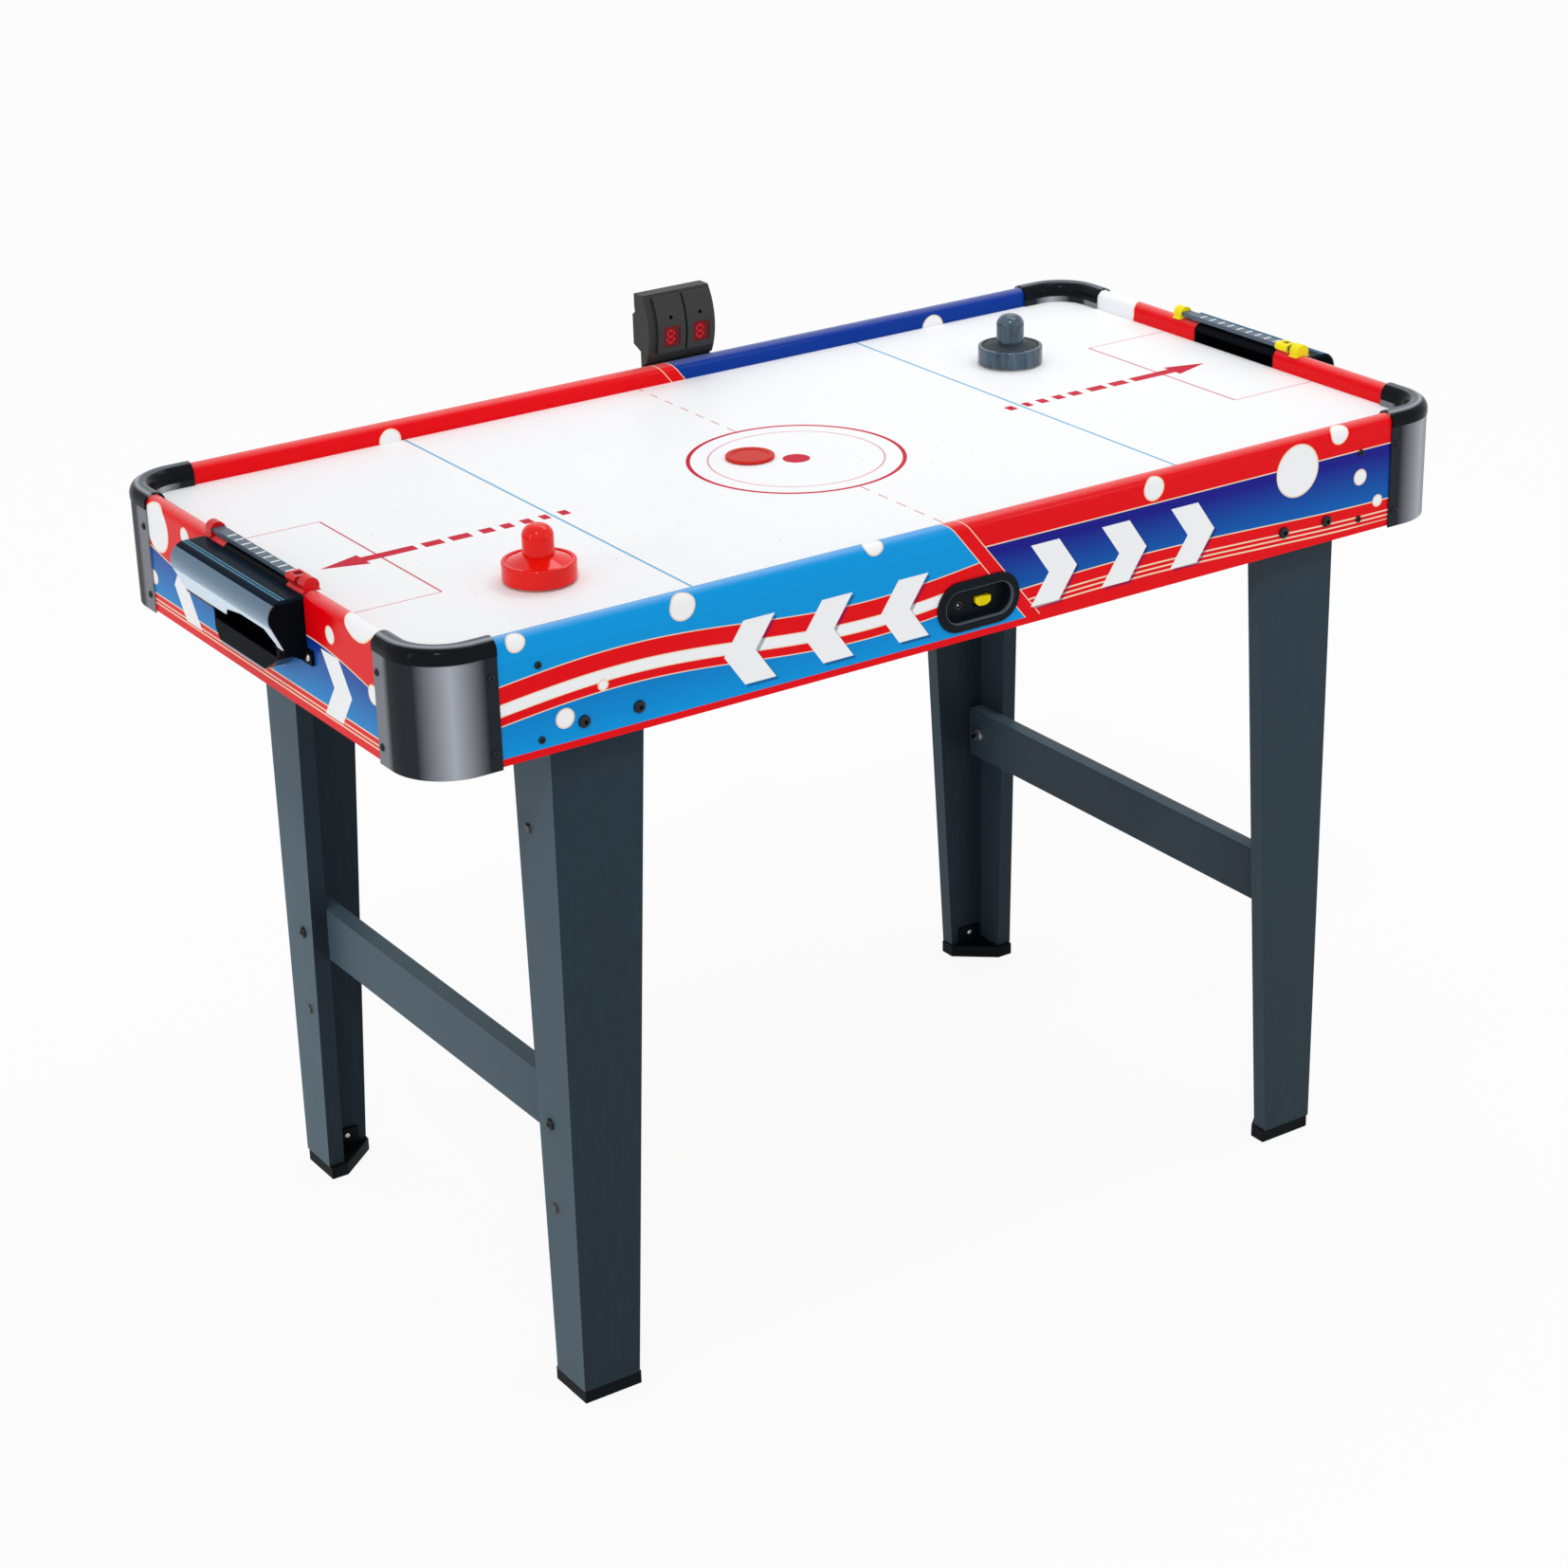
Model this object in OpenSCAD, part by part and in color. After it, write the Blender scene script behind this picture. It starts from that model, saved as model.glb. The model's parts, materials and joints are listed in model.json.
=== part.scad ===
// Air hockey table with a blower, puck returns, slide scorers and an electronic score unit.
// The origin is on the floor under the middle of the table. +X runs along the length,
// -Y is the side with the power switch and +Z is up. All sizes are millimetres.

/* [Table] */
// Length over the corner caps
table_l = 1200; // [1050:10:1500]
// Width over the corner caps
table_w = 630; // [570:10:760]
// Height to the top of the corner caps
table_h = 810; // [700:5:860]
// Height of the apron boards, whose tops are the rails
apron_h = 118; // [112:1:140]
// Thickness of the apron boards
board_t = 18; // [15:0.5:21]
// Height of the rail above the play surface
rail_h = 20; // [18:0.5:24]

/* [Play surface and air chamber] */
// Thickness of the perforated play board
play_t = 4; // [3:0.5:6]
// Diameter of an air hole
air_hole_d = 1.6; // [1:0.1:3]
// Distance between air holes
air_hole_pitch = 50; // [40:5:100]
// Clear height of the air chamber
chamber_h = 26; // [24:1:30]
// Width of the battens that carry the play board
batten_t = 18; // [12:1:24]
// Thickness of the chamber floor
floor_t = 3; // [2:0.5:5]
// Thickness of the cross ribs
rib_t = 12; // [9:1:18]
// Distance between cross ribs
rib_pitch = 150; // [120:10:250]
// Distance between the air notches in a rib
notch_pitch = 100; // [80:5:130]

/* [Corner caps] */
// Wall of a corner cap, which stands proud of the boards
cap_wall = 2.5; // [2:0.5:4]
// Outer corner radius of a cap
cap_r = 57; // [48:1:65]
// Length of a cap along each side, from the table's end
cap_l = 80; // [75:1:100]
// How far a cap reaches below the boards
cap_drop = 2; // [0.5:0.5:5]
// Distance of the cap screws from the cap's edge
cap_screw_in = 7; // [5:0.5:9]
// Thickness of the corner blocks inside the frame
block_t = 15; // [14:0.5:20]
// Length of a corner block along the long side
block_reach_x = 110; // [100:5:115]
// Length of a corner block along the short side
block_reach_y = 105; // [95:5:115]

/* [Legs] */
// Distance from the table's end to the outer face of a leg
leg_inset = 138; // [130:1:180]
// Thickness of the leg boards
leg_t = 18; // [15:0.5:22]
// Width of the wide leg board at its top
leg_wide_top = 101; // [95:1:120]
// Width of the wide leg board at the foot
leg_wide_foot = 62; // [55:1:80]
// Width of the narrow leg board at its top
leg_narrow_top = 72; // [65:1:90]
// Width of the narrow leg board at the foot
leg_narrow_foot = 52; // [48:1:60]
// Height of the plastic feet
foot_h = 14; // [10:1:20]
// Height of the stretcher's lower edge
stretcher_z = 262; // [180:5:380]
// Height of a stretcher board
stretcher_h = 58; // [45:1:80]
// Thickness of a stretcher board
stretcher_t = 18; // [15:0.5:22]

/* [Goals and puck returns] */
// Width of the goal mouth
goal_w = 125; // [100:5:150]
// Height of the goal mouth over the play surface
mouth_h = 12; // [10:0.5:13]
// Wall of the goal frame
goal_wall = 2.5; // [2:0.5:4]
// Width of a return hood
hood_w = 204; // [198:2:240]
// How far a hood stands out of the end board
hood_out = 37; // [34:1:48]
// Height of a hood
hood_h = 63.5; // [60:0.5:66]
// Radius of the hood's barrel front
hood_r = 17; // [15:0.5:18]
// Wall of a hood
hood_wall = 3; // [2.5:0.5:4]
// Thickness of the hood's barrel sheet
cover_t = 2; // [1.5:0.5:2]

/* [Slide scorers] */
// Width of the score bar
bar_w = 12; // [9:0.5:14]
// Thickness of the score bar
bar_t = 4; // [3:0.5:5]
// Distance of the bar brackets from the table's middle
bracket_y = 96; // [85:1:110]
// Width of a bar bracket
bracket_w = 12; // [10:1:18]
// Width of a score slider
slider_w = 18; // [14:1:24]

/* [Score unit] */
// Width of the score unit
unit_w = 84; // [78:1:110]
// Place of the score unit along the table
unit_x = 61; // [-200:1:200]
// Height of the score unit's top above the rail
unit_rise = 75; // [70:1:85]
// Radius of the score unit's curved front
unit_r = 72; // [65:1:100]

/* [Power switch] */
// Width of the oval switch cup
cup_w = 96; // [92:1:120]
// Height of the oval switch cup
cup_h = 50; // [48:1:60]
// Width of the cup's rim
cup_rim = 9; // [7:0.5:10]
// Depth of the cup behind the board's face
cup_depth = 10; // [9:0.5:13]
// Length of the rocker
rocker_l = 16.5; // [14:0.5:22]
// Width of the rocker
rocker_w = 10; // [8:0.5:14]
// Tilt of the rocker either side of its middle, in degrees
rocker_tilt = 10; // [6:1:12]

/* [Blower] */
// Inner radius of the blower housing
blower_r = 68; // [62:1:80]
// Height of the blower housing
blower_h = 48; // [44:1:52]
// Outer radius of the blower wheel
wheel_r = 52; // [44:1:54]
// Number of wheel blades
blades = 24; // [12:1:30]

/* [Playing pieces] */
// Diameter of the puck
puck_d = 50; // [44:1:62]
// Thickness of the puck
puck_t = 3.5; // [3:0.5:8]
// Diameter of a striker
striker_d = 70; // [66:1:90]
// Height of a striker over its felt
striker_h = 52.5; // [46:0.5:66]

/* [Hidden] */
$fn = 48;

// Clearances: pieces that fit together, moving pieces, and screws in their holes
fit_gap = 0.2;
run_gap = 0.3;
screw_gap = 0.1;
pin_gap = 0.05;

// Faces of the boards and levels of the table
out_x = table_l / 2 - cap_wall;
out_y = table_w / 2 - cap_wall;
in_x = out_x - board_t;
in_y = out_y - board_t;
rail_z = table_h - cap_wall;
apron_z = rail_z - apron_h;
play_z = rail_z - rail_h;
play_under = play_z - play_t;
chamber_z = play_under - chamber_h;
floor_under = chamber_z - floor_t;
nose_r = board_t / 2;
nose_z = rail_z - nose_r;

// Corner caps and blocks
arc_x = table_l / 2 - cap_r;
arc_y = table_w / 2 - cap_r;
cap_leg = cap_l - cap_r;
cap_in_r = cap_r - 2 * cap_wall - board_t;
cap_step = 0.8;
cap_band = 4;
cap_screw_x = table_l / 2 - cap_l + cap_screw_in;
cap_screw_y = table_w / 2 - cap_l + cap_screw_in;
block_screw_x = in_x - block_reach_x + 10;
block_bevel = 38;
block_z = apron_z + 4;
corner_screw_z = [apron_z + 15.5, play_under - 8];

// Screws and bolts
screw_d = 3.8;
screw_head_d = 7;
screw_head_h = 2;
corner_screw_l = board_t + 11;
panel_screw_l = 9;
bolt_d = 6;
bolt_head_d = 12;
bolt_head_h = 3.4;
bolt_tail = 9;
bolt_gap = 0.2;
nut_d = 11.5;
nut_h = 5;
washer_d = 15;
washer_t = 1.6;

// Legs
leg_x = table_l / 2 - leg_inset;
leg_y = in_y;
leg_top = floor_under - 6;
leg_bolt_x = [leg_x - 26, leg_x - 83];
leg_bolt_z = apron_z + 22.5;
stretcher_x = leg_x - leg_t - stretcher_t;
stretcher_end_gap = 2;
stretcher_bolt_y = leg_y - 38;
stretcher_bolt_z = stretcher_z + stretcher_h / 2;
plug_d = 8;
plug_depth = 10;
plug_head_d = 12;
plug_head_h = 2;
plug_places = [[leg_y - 38, stretcher_z - 62], [leg_y - 48, apron_z - 98]];

// Feet
foot_inset = 1;
foot_long = leg_wide_foot + 2;
foot_short = leg_narrow_foot + 4;
foot_clip = leg_t + 2;
foot_tab_t = 3;
foot_tab_l = 28;
foot_tab_h = 20;
foot_screw_z = foot_h + 12;
foot_screw_x = leg_x - leg_t - 6 - foot_tab_l / 2;

// Goals: the tray is the floor of the shaft that a puck drops into
hood_drop = 3;
hood_top = rail_z - hood_drop;
hood_z = hood_top - hood_h;
toe_z = hood_z + 12.5;
tray_z = hood_z + hood_wall;
hood_rise = hood_r - 0.5;
hood_lean = 25;
hood_cx = out_x + hood_out - hood_r;
hood_cz = hood_top - hood_rise;
hood_bead_r = 1.3;
hood_bead_pitch = 3.6;
lug_w = 13;
lug_h = 14;
return_top = 34;
return_near = 9;
return_slope = 36;
scoop_out = 21.5;
scoop_wall = 2.5;
scoop_drop = 19;
scoop_lip = hood_z + 3;
stop_x = 16.5;
stop_z = hood_z + 25.5;
lining_t = 1.5;

// Slide scorers
bar_x = in_x + board_t / 2;
bar_z = rail_z + 3;
bar_l = 2 * bracket_y + bracket_w / 2;
bracket_wall = 3.5;
slider_wall = 2.7;
slider_travel = bracket_y - bracket_w / 2 - slider_w / 2 - 5;

// Score unit, built round the axis of its curved front
unit_front = out_y - 12.5;
unit_back = out_y + 20;
unit_top = rail_z + unit_rise;
unit_foot = rail_z + 0.6;
unit_mid = unit_foot + 34;
unit_waist = 12;
unit_shoulder = 51;
unit_cy = unit_front + unit_r;
stem_t = 6;
stem_h = 47;
panel_t = 3.2;
panel_gap = 2.4;
panel_foot = 11;
panel_edge = 10;
panel_w = (unit_w - panel_edge - 2 * panel_gap) / 2;
window_w = 20;
window_h = 22;
window_t = 4;
window_proud = 2.2;
window_z = unit_mid - 5;
lamp_d = 4.6;
lamp_z = unit_mid + 15;
segment_l = 8;
segment_h = 6.6;
segment_w = 2.8;
segment_t = 0.4;

// Power switch
cup_x = -2.4;
cup_z = apron_z + 35.5;
switch_z = cup_z - 3;
cup_wall = 2;
cup_in_w = cup_w - 2 * cup_rim;
cup_in_h = cup_h - 2 * cup_rim;
rim_t = 2;
lip_t = 1.2;
lip_w = 4;
cup_floor_y = -out_y + cup_depth;
rocker_x = 9;
rocker_pin_d = 2.4;
rocker_pin_y = cup_floor_y + cup_wall + rocker_pin_d;
rocker_face = 4.5;
rocker_dip = 2.6;
rocker_deep = 6;
switch_wall = 2;
switch_deep = 12;
jack_x = -18;
jack_d = 11;
jack_nose_d = 8;
jack_bore_d = 5.5;
jack_pin_d = 2.1;
jack_deep = 13;

// Blower, hung under the chamber floor on the Z axis
blower_wall = 2.5;
flange_w = 12;
flange_t = 3;
blower_z = floor_under - blower_h;
inlet_r = 36;
wheel_z = blower_z + blower_wall + 6;
wheel_h = 26;
wheel_plate_t = 2;
blade_t = 1.2;
blade_sweep = 22;
hub_r = 7;
shaft_r = 1.5;
bridge_t = 3;
bridge_arm_w = 12;
motor_r = 16;
motor_h = 20;
motor_boss_r = 5;
grille_t = 3;
grille_r = 46;
grille_bar = 2.4;

// Playing pieces at their places on the play surface
air_film = 0.3;
puck_at = [-0.03 * table_l, 0.038 * table_w];
striker_left_at = [-0.321 * table_l, -0.2475 * table_w];
striker_right_at = [0.309 * table_l, 0.2 * table_w];
felt_t = 1.5;

// Extrudes an outline drawn in Y and Z along X, about X = 0
module along_x(len) {
    rotate([90, 0, 90]) linear_extrude(height = len, center = true) children();
}

// Extrudes an outline drawn in X and Z along Y, about Y = 0
module along_y(len) {
    rotate([90, 0, 0]) linear_extrude(height = len, center = true) children();
}

// Turns a piece that points up so that it points out of the long side (+Y) or the end (+X)
module out_long() {
    rotate([-90, 0, 0]) children();
}

module out_end() {
    rotate([0, 90, 0]) children();
}

// Puts a piece drawn at the +X +Y corner at the corner with these signs
module at_corner(sx, sy) {
    mirror([sx < 0 ? 1 : 0, 0, 0]) mirror([0, sy < 0 ? 1 : 0, 0]) children();
}

module at_corners() {
    for (sx = [-1, 1], sy = [-1, 1]) at_corner(sx, sy) children();
}

// Puts a piece drawn at the +X end at the left end
module at_left() {
    rotate([0, 0, 180]) children();
}

module stadium(w, h) {
    square([w - h, h], center = true);
    for (s = [-1, 1]) translate([s * (w - h) / 2, 0]) circle(d = h);
}

// A box given by its low corner and its high corner
module span(low, high) {
    translate(low) cube(high - low);
}

// Screw with a chamfered pan head, its seat at Z = 0
module screw(len) {
    translate([0, 0, -len]) cylinder(d = screw_d, h = len);
    cylinder(d = screw_head_d, h = screw_head_h / 2);
    translate([0, 0, screw_head_h / 2])
        cylinder(d1 = screw_head_d, d2 = screw_head_d * 0.6, h = screw_head_h / 2);
}

module screw_hole(len) {
    translate([0, 0, -len - 1]) cylinder(d = screw_d + 2 * screw_gap, h = len + 2);
}

// Dome-headed bolt, its seat at Z = 0
module bolt(grip) {
    translate([0, 0, -grip - bolt_tail]) cylinder(d = bolt_d, h = grip + bolt_tail);
    rotate_extrude() intersection() {
        square([bolt_head_d, bolt_head_h]);
        translate([0, bolt_head_h - bolt_head_d]) circle(r = bolt_head_d);
        square([bolt_head_d / 2, bolt_head_h]);
    }
}

module bolt_hole(grip) {
    translate([0, 0, -grip - 1]) cylinder(d = bolt_d + 2 * bolt_gap, h = grip + 2);
}

// Washer and hex nut below a seat at Z = 0
module nut() {
    difference() {
        union() {
            translate([0, 0, -washer_t]) cylinder(d = washer_d, h = washer_t);
            translate([0, 0, -washer_t - nut_h]) cylinder(d = nut_d, h = nut_h, $fn = 6);
        }
        bolt_hole(washer_t + nut_h);
    }
}

// Places of the fasteners, drawn at the +X +Y corner
module at_cap_screws() {
    for (z = corner_screw_z) {
        translate([cap_screw_x, table_w / 2 - cap_step, z]) out_long() children();
        translate([table_l / 2 - cap_step, cap_screw_y, z]) out_end() children();
    }
}

module at_block_screws() {
    for (z = corner_screw_z) translate([block_screw_x, out_y, z]) out_long() children();
}

module at_leg_bolts() {
    for (x = leg_bolt_x) translate([x, out_y, leg_bolt_z]) out_long() children();
}

module at_stretcher_bolts() {
    translate([leg_x, stretcher_bolt_y, stretcher_bolt_z]) out_end() children();
}

module at_plugs() {
    for (p = plug_places) translate([leg_x, p[0], p[1]]) out_end() children();
}

module at_foot_screw() {
    translate([foot_screw_x, leg_y - leg_t - foot_tab_t, foot_screw_z]) rotate([90, 0, 0]) children();
}

module at_hood_screws() {
    for (s = [-1, 1])
        translate([out_x + hood_wall, s * (hood_w + lug_w) / 2, hood_z + lug_h / 2]) out_end() children();
}

module at_unit_screws() {
    for (s = [-1, 1])
        translate([unit_x + s * unit_w / 3, out_y + stem_t, unit_foot - stem_h * 0.6]) out_long() children();
}

module at_flange_screws() {
    for (a = [45 : 90 : 315]) rotate([0, 0, a])
        translate([blower_r + blower_wall + flange_w / 2, 0, floor_under - flange_t])
        rotate([180, 0, 0]) children();
}

module at_bridge_screws() {
    for (a = [0 : 120 : 240]) rotate([0, 0, a])
        translate([blower_r + flange_w / 2, 0, chamber_z + bridge_t]) children();
}

// Board outline with a half-round nose, which is the top of the rail
module apron_outline() {
    square([board_t, apron_h - nose_r]);
    translate([nose_r, apron_h - nose_r]) circle(r = nose_r);
}

// Long board on the back side, with the holes that all fasteners need
module long_board() {
    difference() {
        translate([0, in_y, apron_z]) along_x(2 * arc_x) apron_outline();
        for (sx = [-1, 1]) at_corner(sx, 1) {
            at_cap_screws() screw_hole(corner_screw_l);
            at_block_screws() screw_hole(corner_screw_l);
            at_leg_bolts() bolt_hole(board_t);
        }
    }
}

module front_apron() {
    color("royalblue") difference() {
        mirror([0, 1, 0]) long_board();
        translate([cup_x, -out_y + board_t / 2, cup_z])
            along_y(board_t + 2)
                stadium(cup_in_w + 2 * cup_wall + 2 * fit_gap, cup_in_h + 2 * cup_wall + 2 * fit_gap);
    }
}

module back_apron() {
    color("royalblue") difference() {
        long_board();
        at_unit_screws() screw_hole(stem_t + panel_screw_l);
    }
}

// End board on the right, cut away for the goal
module end_board() {
    half = goal_w / 2 + goal_wall;
    difference() {
        translate([in_x, 0, apron_z]) along_y(2 * arc_y) apron_outline();
        span([in_x - 1, -half, tray_z - goal_wall], [out_x + 1, half, table_h + 1]);
        for (sy = [-1, 1]) at_corner(1, sy) at_cap_screws() screw_hole(corner_screw_l);
        at_hood_screws() screw_hole(hood_wall + panel_screw_l);
    }
}

module left_apron() {
    color("crimson") at_left() end_board();
}

module right_apron() {
    color("crimson") end_board();
}

module play_board() {
    margin = 40;
    nx = floor((in_x - margin) / air_hole_pitch);
    ny = floor((in_y - margin) / air_hole_pitch);
    color("white") difference() {
        span([-in_x + fit_gap, -in_y + fit_gap, play_under], [in_x - fit_gap, in_y - fit_gap, play_z]);
        for (i = [-nx : nx], j = [-ny : ny])
            translate([i * air_hole_pitch, j * air_hole_pitch, play_under - 1])
            cylinder(d = air_hole_d, h = play_t + 2, $fn = 16);
    }
}

// Floor of the air chamber, cut back from the corner blocks
module chamber_floor() {
    steps = [
        [in_x - fit_gap, in_y - block_reach_y - 1],
        [in_x - block_reach_x - 1, in_y - fit_gap],
        [in_x - block_t - 1, in_y - block_t - block_bevel],
        [in_x - block_t - block_bevel, in_y - block_t - 1]
    ];
    color("peru") difference() {
        translate([0, 0, floor_under]) linear_extrude(height = floor_t)
            for (s = steps) square([2 * s[0], 2 * s[1]], center = true);
        translate([0, 0, floor_under - 1]) cylinder(r = blower_r, h = floor_t + 2);
        at_flange_screws() screw_hole(panel_screw_l);
        at_bridge_screws() screw_hole(panel_screw_l);
    }
}

module battens() {
    long_half = in_x - block_reach_x - 1;
    end_half = in_y - block_reach_y - 1;
    color("burlywood") for (s = [-1, 1]) {
        translate([0, s * (in_y - batten_t / 2), chamber_z])
            translate([-long_half, -batten_t / 2, 0]) cube([2 * long_half, batten_t, chamber_h]);
        translate([s * (in_x - batten_t / 2), 0, chamber_z])
            translate([-batten_t / 2, -end_half, 0]) cube([batten_t, 2 * end_half, chamber_h]);
    }
}

// Ribs that hold the play board up, notched to let the air pass
module cross_ribs() {
    first = blower_r + flange_w * 2 + rib_t;
    count = floor((in_x - block_reach_x - rib_t - first) / rib_pitch);
    half = in_y - batten_t;
    notches = floor(half / notch_pitch - 0.3);
    color("burlywood") for (s = [-1, 1], i = [0 : count])
        difference() {
            translate([s * (first + i * rib_pitch), 0, chamber_z])
                translate([-rib_t / 2, -half, 0]) cube([rib_t, 2 * half, chamber_h]);
            for (k = [-notches : notches])
                translate([s * (first + i * rib_pitch), k * notch_pitch, chamber_z])
                along_x(rib_t + 2) stadium(notch_pitch * 0.6, chamber_h);
        }
}

// Channel of a corner cap: stepped skirt, half-round top and inner wall down to the play surface
module cap_outline() {
    mid = cap_r - cap_wall - nose_r;
    difference() {
        union() {
            translate([cap_in_r, apron_z - cap_drop])
                square([cap_r - cap_step - cap_in_r, nose_z - apron_z + cap_drop]);
            translate([mid, nose_z - cap_band]) square([cap_r - mid, cap_band]);
            translate([mid, nose_z]) circle(r = nose_r + cap_wall);
        }
        translate([mid - nose_r - fit_gap, apron_z - cap_drop - 1])
            square([board_t + 2 * fit_gap, nose_z - apron_z + cap_drop + 1]);
        translate([mid, nose_z]) circle(r = nose_r + fit_gap);
        translate([cap_in_r - 1, apron_z - cap_drop - 1])
            square([cap_wall + 2, play_z - apron_z + cap_drop + 1]);
    }
}

module corner_cap(sx, sy) {
    color("#2b3036") at_corner(sx, sy) difference() {
        translate([arc_x, arc_y, 0]) {
            rotate_extrude(angle = 90) cap_outline();
            translate([-cap_leg / 2, 0, 0]) along_x(cap_leg) cap_outline();
            translate([0, -cap_leg / 2, 0]) along_y(cap_leg) cap_outline();
        }
        at_cap_screws() screw_hole(corner_screw_l);
    }
}

module corner_cap_front_left() {
    corner_cap(-1, -1);
}

module corner_cap_front_right() {
    corner_cap(1, -1);
}

module corner_cap_back_left() {
    corner_cap(-1, 1);
}

module corner_cap_back_right() {
    corner_cap(1, 1);
}

// Blocks that join the boards inside the corners and carry the play board's corners
module corner_blocks() {
    color("dimgray") at_corners() difference() {
        translate([0, 0, block_z]) linear_extrude(height = play_under - block_z) polygon([
            [in_x - block_reach_x, in_y],
            [in_x, in_y],
            [in_x, in_y - block_reach_y],
            [in_x - block_t, in_y - block_reach_y],
            [in_x - block_t, in_y - block_t - block_bevel],
            [in_x - block_t - block_bevel, in_y - block_t],
            [in_x - block_reach_x, in_y - block_t]
        ]);
        at_cap_screws() screw_hole(corner_screw_l);
        at_block_screws() screw_hole(corner_screw_l);
    }
}

module corner_screws() {
    color("black") at_corners() {
        at_cap_screws() screw(corner_screw_l);
        at_block_screws() screw(corner_screw_l);
    }
}

// Short screws of the feet, hoods, score unit and blower
module panel_screws() {
    color("gray") {
        at_corners() at_foot_screw() screw(foot_tab_t + panel_screw_l);
        at_hood_screws() screw(hood_wall + panel_screw_l);
        at_left() at_hood_screws() screw(hood_wall + panel_screw_l);
        at_unit_screws() screw(stem_t + panel_screw_l);
        at_flange_screws() screw(flange_t + floor_t);
        at_bridge_screws() screw(bridge_t + floor_t);
    }
}

// Leg of two tapered boards that meet in an L
module leg(sx, sy) {
    color("#262c33") at_corner(sx, sy) difference() {
        union() {
            translate([0, leg_y - leg_t / 2, 0]) along_y(leg_t) polygon([
                [leg_x, foot_h],
                [leg_x, leg_top],
                [leg_x - leg_wide_top, leg_top],
                [leg_x - leg_wide_foot, foot_h]
            ]);
            translate([leg_x - leg_t / 2, 0, 0]) along_x(leg_t) polygon([
                [leg_y, foot_h],
                [leg_y, leg_top],
                [leg_y - leg_narrow_top, leg_top],
                [leg_y - leg_narrow_foot, foot_h]
            ]);
        }
        at_leg_bolts() bolt_hole(board_t + leg_t);
        at_stretcher_bolts() bolt_hole(leg_t);
        at_plugs() translate([0, 0, -plug_depth - 1])
            cylinder(d = plug_d + 2 * screw_gap, h = plug_depth + 2);
        at_foot_screw() screw_hole(foot_tab_t + panel_screw_l);
    }
}

module leg_front_left() {
    leg(-1, -1);
}

module leg_front_right() {
    leg(1, -1);
}

module leg_back_left() {
    leg(-1, 1);
}

module leg_back_right() {
    leg(1, 1);
}

// Moulded foot under a leg, with a tab that is screwed to the wide board
module foot(sx, sy) {
    tab_x = foot_screw_x - foot_tab_l / 2;
    tab_y = leg_y - leg_t - foot_tab_t;
    color("#15181b") at_corner(sx, sy) difference() {
        union() {
            linear_extrude(height = foot_h) polygon([
                [leg_x - foot_inset, leg_y - foot_inset],
                [leg_x - foot_long, leg_y - foot_inset],
                [leg_x - foot_long, leg_y - foot_clip],
                [leg_x - foot_clip, leg_y - foot_short],
                [leg_x - foot_inset, leg_y - foot_short]
            ]);
            translate([tab_x, tab_y, foot_h - 1]) cube([foot_tab_l, foot_tab_t, foot_tab_h + 1]);
        }
        at_foot_screw() screw_hole(foot_tab_t);
    }
}

module foot_front_left() {
    foot(-1, -1);
}

module foot_front_right() {
    foot(1, -1);
}

module foot_back_left() {
    foot(-1, 1);
}

module foot_back_right() {
    foot(1, 1);
}

// Stretcher behind the narrow boards of the right pair of legs
module stretcher() {
    half = leg_y - leg_t - stretcher_end_gap;
    difference() {
        span([stretcher_x, -half, stretcher_z],
            [stretcher_x + stretcher_t, half, stretcher_z + stretcher_h]);
        for (sy = [-1, 1]) at_corner(1, sy) at_stretcher_bolts() bolt_hole(leg_t + stretcher_t);
    }
}

module stretcher_left() {
    color("#262c33") at_left() stretcher();
}

module stretcher_right() {
    color("#262c33") stretcher();
}

module frame_bolts() {
    color("black") at_corners() {
        at_leg_bolts() bolt(board_t + leg_t);
        at_stretcher_bolts() bolt(leg_t + stretcher_t);
    }
}

module frame_nuts() {
    color("silver") at_corners() {
        at_leg_bolts() translate([0, 0, -board_t - leg_t]) nut();
        at_stretcher_bolts() translate([0, 0, -leg_t - stretcher_t]) nut();
    }
}

module hole_plugs() {
    color("black") at_corners() at_plugs() {
        translate([0, 0, -plug_depth]) cylinder(d = plug_d, h = plug_depth);
        cylinder(d1 = plug_head_d, d2 = plug_head_d * 0.7, h = plug_head_h);
    }
}

// Goal frame in the right end board: jambs, lintel, and a shaft down to the tray
module goal_frame() {
    half = goal_w / 2 + goal_wall - fit_gap;
    lining_half = hood_w / 2 - hood_wall - fit_gap;
    difference() {
        intersection() {
            translate([in_x, 0, apron_z]) along_y(2 * half) apron_outline();
            span([in_x - 1, -half - 1, tray_z - goal_wall + fit_gap], [out_x + 1, half + 1, table_h]);
        }
        span([in_x + goal_wall, -goal_w / 2, tray_z], [out_x + 1, goal_w / 2, play_z + mouth_h]);
        span([in_x - 1, -goal_w / 2, play_z], [out_x, goal_w / 2, play_z + mouth_h]);
    }
    difference() {
        span([out_x, -lining_half, tray_z + tray_slope * lining_t + fit_gap],
            [out_x + lining_t, lining_half, hood_top - hood_wall - fit_gap]);
        span([in_x, -goal_w / 2, tray_z], [out_x + 2 * lining_t, goal_w / 2, play_z + mouth_h]);
    }
}

module goal_frame_left() {
    color("#14171a") at_left() goal_frame();
}

module goal_frame_right() {
    color("#14171a") goal_frame();
}

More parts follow.
